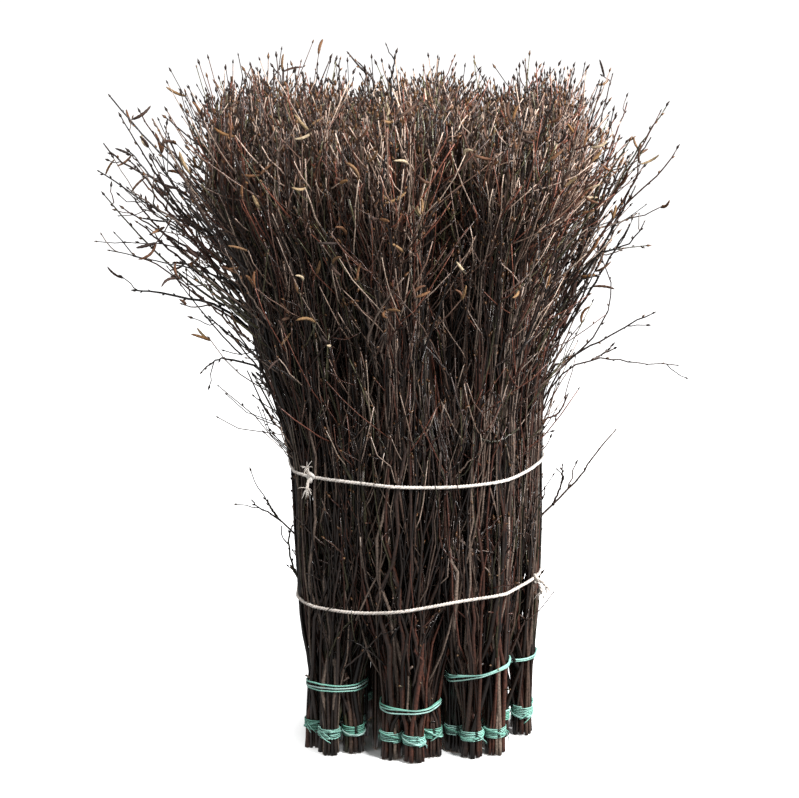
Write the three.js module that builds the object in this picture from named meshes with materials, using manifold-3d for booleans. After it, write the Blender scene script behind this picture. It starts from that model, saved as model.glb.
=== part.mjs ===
// A standing trade pack of cut birch twigs.
// Small bunches of twigs are each wrapped with twine near their cut ends, gathered in fives into
// bundles that have a tie of their own, and eight bundles are held together by two white cords.
// Millimetres, Z up, the cut ends on z = 0, the front of the pack towards -Y.

import * as THREE from "three";
import { mergeVertices } from "three/addons/utils/BufferGeometryUtils.js";
import Module from "manifold-3d";

const wasm = await Module();
wasm.setup();

// Driving dimensions of the bunches and bundles
const FOOT_RADIUS = 12.8;
const FOOT_STRAIGHT = 42;
const FOOT_TOP = 74;
const FOOT_TAPER = 1.5;
const FOOT_LEAN = 6.5;
const FOOT_SIDES = 7;
const WRAP_THICKNESS = 1.5;
const WRAP_HEIGHT = 17;
const WRAP_BOTTOM = 21;
const WRAP_UNEVEN = 2;
const WRAP_EDGE = 1.5;
const BUNDLE_WAIST = 37;
const BUNDLE_BASE = 31;
const BUNDLE_BOTTOM = 50;
const BUNDLE_SIDES = 14;
const RIB_VALLEY = 0.9;
const MASS_UNEVEN = 0.04;
const TIE_THICKNESS = 2.6;
const TIE_HEIGHT = 8;
const TIE_ZONE = 13;
const PACK_BUNDLE_RADIUS = 43;

// Air that is left between a twine and the twigs it holds, and between two bundles
const FIT_GAP = 0.35;
const BUNDLE_GAP = 1.2;

// How the pack opens: height, spread of the bundles' middles, extra lean to the left, and the
// largest radius of one bundle
const OPENING = [
  { height: 0, spread: 1, lean: 0, girth: 37 },
  { height: 200, spread: 1, lean: 0, girth: 43 },
  { height: 360, spread: 1.02, lean: 0.02, girth: 60 },
  { height: 420, spread: 1.08, lean: 0.15, girth: 75 },
  { height: 500, spread: 1.24, lean: 0.28, girth: 200 },
  { height: 600, spread: 1.42, lean: 0.36, girth: 250 },
  { height: 690, spread: 1.55, lean: 0.4, girth: 300 },
  { height: 800, spread: 1.58, lean: 0.1, girth: 300 },
];

// The crown: its edge and top, how far it sinks towards the outside of the pack, and its jags
const CROWN_EDGE = 756;
const CROWN_TOP = 780;
const CROWN_SHOULDER = 0.55;
const CROWN_SINK = 30;
const CROWN_RADIUS = 240;
const CROWN_JAG = 18;
const CROWN_UNEVEN = 8;

// Stray twigs: thickness at the root and the tip, and how far inside the mass they start
const STRAY_ROOT_RADIUS = 2.6;
const STRAY_TIP_RADIUS = 1;
const STRAY_ROOT_DROP = 70;
const STRAY_ROOT_SHARE = 0.4;

// Stray twigs of each bundle: points from where each leaves the mass to its tip
const STRAYS = {
  front_left: [
    [[-235, -60, 650], [-285, -50, 700], [-360, -30, 780]],
    [[-205, -90, 690], [-240, -100, 722], [-288, -115, 766]],
    [[-245, -80, 655], [-303, -95, 693], [-360, -115, 735]],
    [[-200, -80, 560], [-250, -95, 587], [-300, -110, 602], [-355, -120, 616]],
    [[-225, -110, 615], [-270, -130, 655], [-315, -150, 657]],
  ],
  back_left: [
    [[-245, 30, 645], [-290, 40, 705], [-335, 50, 754]],
    [[-215, 60, 660], [-244, 65, 717], [-275, 75, 774]],
    [[-245, 5, 610], [-320, 8, 650], [-380, 15, 688]],
    [[-200, 10, 500], [-260, 15, 535], [-342, 20, 588]],
    [[-220, 20, 510], [-285, 30, 535], [-341, 40, 542]],
    [[-240, 50, 565], [-305, 70, 592], [-358, 85, 594]],
    [[-175, 10, 440], [-230, 12, 463], [-262, 15, 449]],
    [[-190, 20, 460], [-232, 30, 493], [-255, 40, 508]],
    [[-132, 12, 222], [-172, 12, 267], [-202, 12, 290]],
  ],
  front_right: [
    [[172, -95, 610], [200, -110, 684], [234, -125, 740]],
    [[120, -150, 700], [135, -165, 760], [150, -175, 800]],
  ],
  right: [
    [[185, 20, 590], [226, 25, 656], [271, 35, 733], [292, 40, 763]],
    [[180, -40, 575], [215, -45, 629], [277, -55, 697], [295, -60, 724]],
    [[170, -45, 550], [206, -62, 602], [258, -75, 640]],
    [[165, 40, 530], [216, 55, 583], [273, 70, 592]],
    [[185, 0, 580], [209, 0, 622], [254, 5, 639]],
    [[180, 20, 680], [198, 20, 738], [213, 20, 790]],
    [[195, 60, 680], [215, 65, 739], [229, 70, 797]],
    [[145, 0, 445], [197, -5, 480], [255, -15, 515], [275, -20, 524]],
    [[150, 20, 425], [207, 25, 460], [266, 35, 454], [310, 40, 451]],
    [[130, 20, 240], [161, 15, 282], [197, 5, 325], [234, 0, 378]],
    [[160, -20, 450], [217, -40, 524], [223, -50, 562], [185, -45, 625]],
    [[135, 30, 365], [168, 35, 392], [179, 40, 412]],
  ],
  back_right: [
    [[140, 130, 600], [175, 165, 670], [205, 185, 735]],
    [[105, 165, 560], [125, 210, 610], [140, 240, 650]],
    [[145, 110, 500], [195, 145, 540], [235, 160, 580]],
  ],
  back: [
    [[-55, 150, 760], [-73, 152, 805], [-86, 155, 830]],
    [[-50, 190, 580], [-70, 235, 640], [-80, 260, 690]],
    [[10, 195, 640], [15, 235, 700], [10, 250, 760]],
  ],
  front: [
    [[-35, -190, 640], [-45, -225, 690], [-40, -245, 740]],
    [[20, -185, 560], [30, -220, 600], [45, -240, 640]],
  ],
};

// The eight bundles: where each stands round the pack's axis, its tie's height and slope, and the
// turn of its ring of feet
const BUNDLES = [
  { side: "front_left", angle: -148.5, distance: 118, tie: 85, slope: 0.02, turn: 34 },
  { side: "front", angle: -98, distance: 89, tie: 66, slope: 0.04, turn: 64 },
  { side: "front_right", angle: -46, distance: 98, tie: 105, slope: 0.2, turn: 40 },
  { side: "right", angle: 3, distance: 105, tie: 98, slope: 0.03, turn: 34 },
  { side: "back_right", angle: 54.5, distance: 98, tie: 92, slope: -0.1, turn: 54 },
  { side: "back", angle: 104, distance: 98, tie: 75, slope: 0.08, turn: 32 },
  { side: "back_left", angle: 156, distance: 106, tie: 98, slope: -0.05, turn: 10 },
  { side: "centre", angle: 0, distance: 0, tie: 84, slope: 0, turn: 45 },
];
const FOOT_RING = 25.5;
const CENTRE_FOOT_RING = 29.9;
const BUNCHES_PER_BUNDLE = 5;

// The two cords round the pack: each is higher to the right by its rise and to the front by its lift
const CORDS = [
  { name: "lower_cord", height: 196, rise: 6, lift: 1, knotAngle: -14, tails: [[12, -4, -10], [6, -4, -16]] },
  {
    name: "upper_cord", height: 348, rise: -2.5, lift: -5.5, knotAngle: -140,
    tails: [[-4, -5, 12], [-4, -6, -12]],
  },
];
const CORD_WIDE = 5;
const CORD_THIN = 3.6;
const CORD_CLEARANCE = 1.4;
const CORD_STEPS = 34;
const CORD_POINT_DEGREES = 7;
const KNOT_RADIUS = 5.4;
const KNOT_WIDE = 0.8;
const KNOT_TALL = 1.2;
const TAIL_BOW = 0.3;

const radians = THREE.MathUtils.degToRad;

// A repeatable uneven number between -1 and 1
function uneven(first, second) {
  const wave = Math.sin(first * 12.99 + second * 78.23) * 437.58;
  return 2 * (wave - Math.floor(wave)) - 1;
}

// The opening of the pack at one height
function openingAt(height) {
  const above = Math.max(1, OPENING.findIndex((row) => row.height >= height));
  const low = OPENING[above - 1];
  const high = OPENING[above];
  const share = THREE.MathUtils.clamp((height - low.height) / (high.height - low.height), 0, 1.3);
  const blend = (key) => low[key] + share * (high[key] - low[key]);
  return { spread: blend("spread"), lean: blend("lean"), girth: blend("girth") };
}

function baseCentre(bundle) {
  const turn = radians(bundle.angle);
  return new THREE.Vector2(Math.cos(turn), Math.sin(turn)).multiplyScalar(bundle.distance);
}

// Distance from the pack's axis to a line drawn tight round all the bundles
function tightRadius(angle) {
  let radius = Infinity;
  for (let step = 0; step < 36; step += 1) {
    const normalAngle = radians(step * 10);
    const facing = Math.cos(angle - normalAngle);
    if (facing < 0.3) continue;
    const normal = new THREE.Vector2(Math.cos(normalAngle), Math.sin(normalAngle));
    const farthest = Math.max(...BUNDLES.map((bundle) => baseCentre(bundle).dot(normal)));
    radius = Math.min(radius, (farthest + PACK_BUNDLE_RADIUS) / facing);
  }
  return radius;
}

function packRadius(angle, height) {
  const { spread, lean } = openingAt(height);
  const leftward = Math.max(0, -Math.cos(angle)) ** 2;
  return tightRadius(angle) * spread * (1 + lean * leftward);
}

// How far one bundle reaches from its own middle: its girth, its neighbours and the pack's outline
function bundleReach(bundle, angle, height) {
  const { spread, girth } = openingAt(height);
  const middle = baseCentre(bundle).multiplyScalar(spread);
  const direction = new THREE.Vector2(Math.cos(angle), Math.sin(angle));
  let reach = girth;
  for (const other of BUNDLES) {
    if (other === bundle) continue;
    const between = baseCentre(other).multiplyScalar(spread).sub(middle);
    const facing = direction.dot(between.clone().normalize());
    if (facing > 0.01) reach = Math.min(reach, (between.length() / 2 - BUNDLE_GAP / 2) / facing);
  }
  let inside = 0;
  let outside = reach;
  for (let step = 0; step < 24; step += 1) {
    const trial = (inside + outside) / 2;
    const point = middle.clone().addScaledVector(direction, trial);
    if (point.length() < packRadius(point.angle(), height)) inside = trial;
    else outside = trial;
  }
  return inside;
}

// A closed solid from a three.js geometry, and the way back
function toSolid(geometry) {
  geometry.deleteAttribute("normal");
  geometry.deleteAttribute("uv");
  const merged = mergeVertices(geometry, 1e-3);
  const corners = merged.index.array;
  const triangles = [];
  for (let i = 0; i < corners.length; i += 3) {
    const [a, b, c] = [corners[i], corners[i + 1], corners[i + 2]];
    if (a !== b && b !== c && c !== a) triangles.push(a, b, c);
  }
  const vertProperties = new Float32Array(merged.attributes.position.array);
  const triVerts = new Uint32Array(triangles);
  return new wasm.Manifold(new wasm.Mesh({ numProp: 3, vertProperties, triVerts }));
}

function toGeometry(solid) {
  const mesh = solid.getMesh();
  const geometry = new THREE.BufferGeometry();
  geometry.setAttribute("position", new THREE.BufferAttribute(mesh.vertProperties, 3));
  geometry.setIndex(new THREE.BufferAttribute(mesh.triVerts, 1));
  geometry.computeVertexNormals();
  return geometry;
}

// A turned form whose points are then moved by a rule; each row of the profile is [share, height]
function movedLathe(profile, sides, move) {
  const points = profile.map(([share, height]) => new THREE.Vector2(share, height));
  const geometry = new THREE.LatheGeometry(points, sides).rotateX(Math.PI / 2);
  const position = geometry.attributes.position;
  for (let i = 0; i < position.count; i += 1) {
    const angle = Math.atan2(position.getY(i), position.getX(i));
    const share = Math.hypot(position.getX(i), position.getY(i));
    const point = move(share, angle, position.getZ(i));
    position.setXYZ(i, point.x, point.y, point.z);
  }
  return geometry;
}

// The five bunches of one bundle stand apart at the bottom and lean together under the tie
function footPlaces(bundle) {
  const places = [];
  const central = bundle.distance === 0;
  const ringCount = central ? BUNCHES_PER_BUNDLE - 1 : BUNCHES_PER_BUNDLE;
  const ring = central ? CENTRE_FOOT_RING : FOOT_RING;
  const middle = baseCentre(bundle);
  if (central) places.push({ x: 0, y: 0, outward: new THREE.Vector2(0, 0) });
  for (let number = 0; number < ringCount; number += 1) {
    const turn = radians(bundle.turn + (360 / ringCount) * number);
    const outward = new THREE.Vector2(Math.cos(turn), Math.sin(turn));
    places.push({ x: middle.x + ring * outward.x, y: middle.y + ring * outward.y, outward });
  }
  return places;
}

function footSolid(place) {
  const side = [[FOOT_RADIUS, 0], [FOOT_RADIUS, FOOT_STRAIGHT], [FOOT_RADIUS - FOOT_TAPER, FOOT_TOP]];
  const profile = [[0, 0], ...side, [0, FOOT_TOP]];
  return toSolid(movedLathe(profile, FOOT_SIDES, (share, angle, height) => {
    const lean = (FOOT_LEAN * Math.max(0, height - FOOT_STRAIGHT)) / (FOOT_TOP - FOOT_STRAIGHT);
    const x = place.x - lean * place.outward.x + share * Math.cos(angle);
    const y = place.y - lean * place.outward.y + share * Math.sin(angle);
    return new THREE.Vector3(x, y, height);
  }));
}

// The mass of twigs above the feet, round at the tie, filling its part of the pack higher up,
// with a ribbed side and a jagged crown
function massSolid(bundle) {
  const tieLow = bundle.tie - TIE_ZONE;
  const tieHigh = bundle.tie + TIE_ZONE;
  const rows = [[0, BUNDLE_BOTTOM], [1, BUNDLE_BOTTOM], [1, tieLow], [1, tieHigh]];
  for (const row of OPENING) {
    if (row.height > tieHigh && row.height < CROWN_EDGE) rows.push([1, row.height]);
  }
  rows.push([1, CROWN_EDGE], [CROWN_SHOULDER, CROWN_TOP], [0, CROWN_TOP - CROWN_JAG]);
  return toSolid(movedLathe(rows, BUNDLE_SIDES, (share, angle, height) => {
    const side = Math.round((angle / (2 * Math.PI)) * BUNDLE_SIDES + BUNDLE_SIDES) % BUNDLE_SIDES;
    const rib = side % 2 === 0 ? 1 : RIB_VALLEY;
    let level = height;
    let reach = share * BUNDLE_WAIST;
    if (height < tieLow) reach = share * BUNDLE_BASE;
    if (height >= CROWN_EDGE && share > 0) {
      level = height + (side % 2 === 0 ? 1 : -1) * CROWN_JAG + CROWN_UNEVEN * uneven(side, bundle.angle);
    }
    if (height > tieHigh) {
      const roughness = 1 - MASS_UNEVEN * (1 + uneven(side + height, bundle.angle));
      reach = share * rib * roughness * bundleReach(bundle, angle, level);
    }
    const middle = baseCentre(bundle).multiplyScalar(openingAt(level).spread);
    const x = middle.x + reach * Math.cos(angle);
    const y = middle.y + reach * Math.sin(angle);
    const sink = height > CROWN_TOP - CROWN_JAG - 1 ? CROWN_SINK * (Math.hypot(x, y) / CROWN_RADIUS) ** 2 : 0;
    return new THREE.Vector3(x, y, level - sink);
  }));
}

// One twig that strays out of the mass: a thin three-sided taper along a smooth line
function straySolid(bundle, points) {
  const start = new THREE.Vector3(...points[0]);
  const rootHeight = start.z - STRAY_ROOT_DROP;
  const middle = baseCentre(bundle).multiplyScalar(openingAt(rootHeight).spread);
  const root = new THREE.Vector3(middle.x, middle.y, rootHeight).lerp(start, STRAY_ROOT_SHARE);
  const curve = new THREE.CatmullRomCurve3([root, ...points.map((point) => new THREE.Vector3(...point))]);
  const steps = points.length;
  const frames = curve.computeFrenetFrames(steps, false);
  return toSolid(movedLathe([[0, 0], ...Array.from({ length: steps + 1 }, (_, i) => [1, i]), [0, steps]], 3,
    (share, angle, height) => {
      const step = Math.round(height);
      const radius = share * THREE.MathUtils.lerp(STRAY_ROOT_RADIUS, STRAY_TIP_RADIUS, step / steps);
      return curve.getPointAt(step / steps)
        .addScaledVector(frames.normals[step], radius * Math.cos(angle))
        .addScaledVector(frames.binormals[step], radius * Math.sin(angle));
    }));
}

function bundleGeometry(bundle) {
  let solid = massSolid(bundle);
  for (const place of footPlaces(bundle)) solid = solid.add(footSolid(place));
  for (const points of STRAYS[bundle.side] ?? []) solid = solid.add(straySolid(bundle, points));
  return toGeometry(solid);
}

// The wrap of twine round one bunch: a low band a little proud of the twigs
function wrapGeometry(place, number) {
  const bottom = WRAP_BOTTOM + WRAP_UNEVEN * uneven(number, place.x);
  const inner = FOOT_RADIUS + FIT_GAP;
  const outer = FOOT_RADIUS + WRAP_THICKNESS;
  const top = bottom + WRAP_HEIGHT;
  const profile = [
    [inner, bottom], [outer, bottom + WRAP_EDGE], [outer, top - WRAP_EDGE], [inner, top], [inner, bottom],
  ];
  return movedLathe(profile, FOOT_SIDES, (radius, angle, height) =>
    new THREE.Vector3(place.x + radius * Math.cos(angle), place.y + radius * Math.sin(angle), height));
}

// The tie of two or three turns of twine round one bundle, higher on one side
function tieGeometry(bundle) {
  const inner = BUNDLE_WAIST + FIT_GAP;
  const middle = baseCentre(bundle);
  const low = bundle.tie - TIE_HEIGHT / 2;
  const profile = [
    [inner, low], [inner + TIE_THICKNESS, bundle.tie], [inner, low + TIE_HEIGHT], [inner, low],
  ];
  return movedLathe(profile, BUNDLE_SIDES, (radius, angle, height) => {
    const x = radius * Math.cos(angle);
    return new THREE.Vector3(middle.x + x, middle.y + radius * Math.sin(angle), height + bundle.slope * x);
  });
}

// A white cord pulled tight round the pack, with its knot and two short ends
function cordGeometry(cord) {
  const standoff = CORD_CLEARANCE + CORD_THIN / 2;
  const knotTurn = radians(cord.knotAngle);
  const pointAt = (turn, extra) => {
    const radius = packRadius(turn, cord.height) + standoff + extra;
    const height = cord.height + cord.rise * Math.cos(turn) - cord.lift * Math.sin(turn);
    return new THREE.Vector3(radius * Math.cos(turn), radius * Math.sin(turn), height);
  };
  const route = [];
  for (let degree = 1.5; degree < 360; degree += CORD_POINT_DEGREES) {
    route.push(pointAt(knotTurn + radians(degree), 0));
  }
  const section = new THREE.Shape().absellipse(0, 0, CORD_THIN / 2, CORD_WIDE / 2, 0, 2 * Math.PI);
  const tube = (points, steps) => new THREE.ExtrudeGeometry(section, {
    extrudePath: new THREE.CatmullRomCurve3(points), steps, curveSegments: 3, bevelEnabled: false,
  });
  const knotMiddle = pointAt(knotTurn, KNOT_RADIUS * 0.5);
  const knot = new THREE.SphereGeometry(KNOT_RADIUS, 7, 5).scale(KNOT_WIDE, 1, KNOT_TALL);
  knot.rotateZ(knotTurn).translate(knotMiddle.x, knotMiddle.y, knotMiddle.z);
  let solid = toSolid(tube(route, CORD_STEPS)).add(toSolid(knot));
  for (const tail of cord.tails) {
    const end = knotMiddle.clone().add(new THREE.Vector3(...tail));
    const bow = new THREE.Vector3(tail[0] * TAIL_BOW, tail[1] * TAIL_BOW, 0);
    const bend = knotMiddle.clone().lerp(end, 0.5).add(bow);
    solid = solid.add(toSolid(tube([knotMiddle, bend, end], 2)));
  }
  return toGeometry(solid);
}

const bark = { color: 0x4a342b, roughness: 0.75, metalness: 0 };
const twine = { color: 0x7fd6b8, roughness: 0.5, metalness: 0 };
const whiteCord = { color: 0xefe9e2, roughness: 0.85, metalness: 0 };

const pack = new THREE.Group();

function addPiece(name, geometry, finish) {
  const mesh = new THREE.Mesh(geometry, new THREE.MeshStandardMaterial(finish));
  mesh.name = name;
  pack.add(mesh);
}

for (const bundle of BUNDLES) {
  const name = `bundle_${bundle.side}`;
  addPiece(name, bundleGeometry(bundle), bark);
  footPlaces(bundle).forEach((place, index) => {
    addPiece(`${name}_wrap_${index + 1}`, wrapGeometry(place, index), twine);
  });
  addPiece(`${name}_tie`, tieGeometry(bundle), twine);
}
for (const cord of CORDS) addPiece(cord.name, cordGeometry(cord), whiteCord);

export default pack;
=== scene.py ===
import math

import bpy
import numpy as np
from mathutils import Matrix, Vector
from mathutils.bvhtree import BVHTree


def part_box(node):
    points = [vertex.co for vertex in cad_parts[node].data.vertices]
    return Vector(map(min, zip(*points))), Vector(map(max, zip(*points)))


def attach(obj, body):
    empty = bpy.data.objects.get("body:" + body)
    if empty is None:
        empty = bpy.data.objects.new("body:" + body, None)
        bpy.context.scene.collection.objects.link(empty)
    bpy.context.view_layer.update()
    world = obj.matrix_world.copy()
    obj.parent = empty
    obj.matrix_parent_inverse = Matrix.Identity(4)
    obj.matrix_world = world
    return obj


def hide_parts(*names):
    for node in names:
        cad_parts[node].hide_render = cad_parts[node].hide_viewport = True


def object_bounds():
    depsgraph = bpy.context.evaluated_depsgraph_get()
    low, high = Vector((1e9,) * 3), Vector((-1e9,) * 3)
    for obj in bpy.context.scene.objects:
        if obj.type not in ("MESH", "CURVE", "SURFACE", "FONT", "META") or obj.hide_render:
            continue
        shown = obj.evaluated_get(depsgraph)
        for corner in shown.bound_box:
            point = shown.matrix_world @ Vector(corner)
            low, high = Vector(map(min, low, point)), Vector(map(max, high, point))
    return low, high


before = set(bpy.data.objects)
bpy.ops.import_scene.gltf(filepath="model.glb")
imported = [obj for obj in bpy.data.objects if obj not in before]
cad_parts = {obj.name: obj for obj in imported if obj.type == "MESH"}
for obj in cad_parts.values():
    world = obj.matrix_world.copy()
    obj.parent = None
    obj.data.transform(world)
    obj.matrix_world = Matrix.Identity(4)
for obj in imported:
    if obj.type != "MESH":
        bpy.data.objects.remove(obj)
cad_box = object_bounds()


# The room for the twigs
# Eight bundles of cut birch twigs stand side by side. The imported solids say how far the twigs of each
# bundle reach at every height, and a line drawn tight round them all is where the cords hold them.
MM = 0.001
SIDES = ["front_left", "front", "front_right", "right", "back_right", "back", "back_left", "centre"]
BUNCHES = 5

# How far the bundles' middles move apart with height, as the pack opens
OPENING_HEIGHTS = [0.0, 0.20, 0.36, 0.42, 0.50, 0.60, 0.69, 0.80, 0.90]
OPENING_SPREAD = [1.0, 1.0, 1.02, 1.08, 1.24, 1.42, 1.55, 1.58, 1.58]

# The solids are measured at even heights and turns, where each is one body round its middle
LEVEL_STEP = 0.01
LEVELS = np.arange(0.0, 0.90, LEVEL_STEP)
TURNS = 48
SMOOTHING = 2
LOWEST_FULL_LEVEL = 0.13
HIGHEST_FULL_LEVEL = 0.69
INSIDE_TIE = 4 * MM

# A place between entries stays this far below their count, so that there is always a next entry
END_GAP = 1.001
TINY = 1e-6

# The twigs belly out a little between the cords, which draw them in
BELLY_HEIGHTS = [0.0, 0.10, 0.15, 0.19, 0.27, 0.345, 0.38, 0.44, 0.69]
BELLY = [1.0, 1.0, 1.02, 1.02, 1.08, 1.04, 1.05, 1.0, 1.0]
ANGLES = 2 * np.pi * np.arange(TURNS) / TURNS
LEAST_FACING = 0.2


def heading(angle):
    """Steps of length 1 in plan, at these angles."""
    return np.stack([np.cos(angle), np.sin(angle)], axis=-1)


def angle_of(points):
    return np.arctan2(points[..., 1], points[..., 0])


def size_of(vectors):
    return np.linalg.norm(vectors, axis=-1, keepdims=True)


def running_mean(rows, width):
    """A running mean along the last axis, with the ends held."""
    padded = np.concatenate([rows[..., :1]] * width + [rows] + [rows[..., -1:]] * width, axis=-1)
    size = 2 * width + 1
    return sum(padded[..., i:i + rows.shape[-1]] for i in range(size)) / size


DIRECTIONS = heading(ANGLES)
SPREAD = running_mean(np.interp(LEVELS, OPENING_HEIGHTS, OPENING_SPREAD), SMOOTHING)


def measure_bundle(side):
    """The middle of one bundle, the places of its bunches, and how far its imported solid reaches."""
    low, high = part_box(f"bundle_{side}_tie")
    middle = np.array([(low.x + high.x) / 2, (low.y + high.y) / 2])
    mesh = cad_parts[f"bundle_{side}"].data
    solid = BVHTree.FromPolygons([v.co for v in mesh.vertices], [p.vertices[:] for p in mesh.polygons])
    reach = np.full((TURNS, len(LEVELS)), np.nan)
    for level, height in enumerate(LEVELS):
        if not LOWEST_FULL_LEVEL <= height <= HIGHEST_FULL_LEVEL:
            continue
        spread = np.interp(height, OPENING_HEIGHTS, OPENING_SPREAD)
        start = Vector((*(middle * spread), height))
        for turn in range(TURNS):
            _, _, _, distance = solid.ray_cast(start, Vector((*DIRECTIONS[turn], 0)))
            reach[turn, level] = distance
    reach = np.median([np.roll(reach, shift, axis=0) for shift in (1, 0, -1)], axis=0)
    for turn in range(TURNS):
        known = ~np.isnan(reach[turn])
        reach[turn] = np.interp(LEVELS, LEVELS[known], reach[turn][known])
    reach *= np.interp(LEVELS, BELLY_HEIGHTS, BELLY)
    waist = (high.x - low.x) / 2 - INSIDE_TIE
    narrow = LEVELS < LOWEST_FULL_LEVEL
    reach[:, narrow] = np.minimum(reach[:, narrow], waist)
    wraps = [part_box(f"bundle_{side}_wrap_{number}") for number in range(1, BUNCHES + 1)]
    feet = np.array([[(a.x + b.x) / 2, (a.y + b.y) / 2] for a, b in wraps])
    return {
        "side": side, "middle": middle, "feet": feet, "waist": waist, "tie": (low.z + high.z) / 2,
        "reach": running_mean(reach, SMOOTHING),
    }


def from_table(table, angle, height):
    """A value of a table of turns by levels, blended between its rows and columns."""
    turn = (angle / (2 * math.pi)) % 1 * TURNS
    level = np.clip(height / LEVEL_STEP, 0, len(LEVELS) - END_GAP)
    low_turn, low_level = np.floor(turn).astype(int), np.floor(level).astype(int)
    across, up = turn - low_turn, level - low_level
    left, right = low_turn % TURNS, (low_turn + 1) % TURNS
    lower = table[left, low_level] * (1 - across) + table[right, low_level] * across
    upper = table[left, low_level + 1] * (1 - across) + table[right, low_level + 1] * across
    return lower * (1 - up) + upper * up


def middle_of(bundle, height):
    return bundle["middle"] * np.interp(height, LEVELS, SPREAD)[..., None]


def place(bundle, share, height):
    """Points in the pack from their share of the bundle's cross-section, a point in the unit disc."""
    reach = from_table(bundle["reach"], angle_of(share), height)
    flat = middle_of(bundle, height) + share * reach[..., None]
    return np.concatenate([flat, height[..., None]], axis=-1)


def share_of(bundle, points):
    """The reverse of place."""
    offset = points[..., :2] - middle_of(bundle, points[..., 2])
    return offset / from_table(bundle["reach"], angle_of(offset), points[..., 2])[..., None]


def tight_line(points, radii=0.0):
    """Distance from the axis, for every turn, to a line drawn tight round round things at these points."""
    farthest = (points @ DIRECTIONS.T + np.asarray(radii)[..., None]).max(axis=0)
    facing = DIRECTIONS @ DIRECTIONS.T
    reach = np.where(facing > LEAST_FACING, farthest / np.maximum(facing, LEAST_FACING), np.inf)
    return reach.min(axis=1)


bundles = [measure_bundle(side) for side in SIDES]
outline = np.empty((TURNS, len(LEVELS)))
for level, height in enumerate(LEVELS):
    rims = [middle_of(b, height) + DIRECTIONS * b["reach"][:, level:level + 1] for b in bundles]
    outline[:, level] = tight_line(np.concatenate(rims))

# Between the floor and the upper cord the bundles also fill the gaps between them
FILL_HEIGHTS = [0.0, 0.085, 0.12, 0.20, 0.36, 0.42]
FILL = [1.0, 1.0, 1.20, 1.38, 1.25, 1.0]
for bundle in bundles:
    bundle["reach"] = bundle["reach"] * np.interp(LEVELS, FILL_HEIGHTS, FILL)

# Twigs that would stick out are pressed back softly: firmly under the cords, loosely in the crown
HOLD_HEIGHTS = [0.0, 0.16, 0.36, 0.42, 0.50, 0.61, 0.67, 0.80]
HOLD_LIMITS = [1.0, 1.03, 1.03, 0.99, 0.92, 0.90, 1.0, 1.0]
HOLD_SOFTNESS = 0.10
CELL_LIMIT = 1.14

# The front of the pack has a dark groove, where two bundles lean apart above the upper cord
GROOVE_TURN = math.radians(-77)
GROOVE_WIDTH = math.radians(10)
GROOVE_HEIGHTS = [0.38, 0.46, 0.62, 0.74]
GROOVE_DEPTHS = [0.0, 0.50, 0.50, 0.10]

# At the sides only single twigs fill the widest part of the crown, the bundles themselves stand back
LEFT_WIDTH = math.radians(45)
SIDE_HEIGHTS = [0.46, 0.58, 0.70, 0.80]
LEFT_DEPTHS = [0.0, 0.10, 0.19, 0.27]
RIGHT_WIDTH = math.radians(40)
RIGHT_DEPTHS = [0.0, 0.06, 0.14, 0.22]


def soft_limit(size, limit, softness):
    start = limit - softness
    over = np.maximum(size - start, 0)
    return np.where(over > 0, start + softness * (1 - np.exp(-over / softness)), size)


def hold_inside(bundle, points):
    """Points pressed back into their bundle, and then into the outline of the whole pack."""
    share = share_of(bundle, points)
    size = size_of(share)
    share = share * soft_limit(size, CELL_LIMIT, HOLD_SOFTNESS) / np.maximum(size, TINY)
    height = points[..., 2]
    held = place(bundle, share, height)
    angle = angle_of(held)
    part = np.hypot(held[..., 0], held[..., 1]) / from_table(outline, angle, height)
    limit = np.interp(height, HOLD_HEIGHTS, HOLD_LIMITS)
    for offset, width, heights, depths in (
        (angle - GROOVE_TURN, GROOVE_WIDTH, GROOVE_HEIGHTS, GROOVE_DEPTHS),
        (math.pi - np.abs(angle), LEFT_WIDTH, SIDE_HEIGHTS, LEFT_DEPTHS),
        (angle, RIGHT_WIDTH, SIDE_HEIGHTS, RIGHT_DEPTHS),
    ):
        limit = limit - np.exp(-(offset / width) ** 2) * np.interp(height, heights, depths)
    held[..., :2] *= (soft_limit(part, limit, HOLD_SOFTNESS) / np.maximum(part, TINY))[..., None]
    return held


def within_box(path, margin):
    """Paths drawn in towards their roots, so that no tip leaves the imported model's box by over a margin."""
    low, high = np.array(cad_box[0]) - margin, np.array(cad_box[1]) + margin
    reach = path - path[:, :1]
    room = np.where(reach > 0, high - path[:, :1], path[:, :1] - low)
    used = (np.abs(reach) / np.maximum(room, MM)).max(axis=1, keepdims=True)
    return path[:, :1] + reach / np.maximum(used, 1)


# Meshes of many small things
# Each piece is one mesh that a pile of quads and triangles is poured into. Every corner has a place on
# one map: across it lies the tone of the single twig, and up it the age of the bark, which on the bark
# also holds painted light, darker low in the pack and lighter at the top of the crown.
TONES = 16
TONE_INSET = 0.1
TONE_SPAN = 0.8
TUBE_TURN = 2.4
LOW_AGE, HIGH_AGE = 0.02, 0.98
BUD_SIDES = 3
BUD_BELLY = 0.45
BUD_AGE_SPAN = 0.08
LEAST_LENGTH = 1e-9


def unit(vectors):
    return vectors / np.maximum(size_of(vectors), LEAST_LENGTH)


def new_pile():
    return {"co": [], "quads": [], "quad_uv": [], "tris": [], "tri_uv": [], "count": 0}


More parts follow.
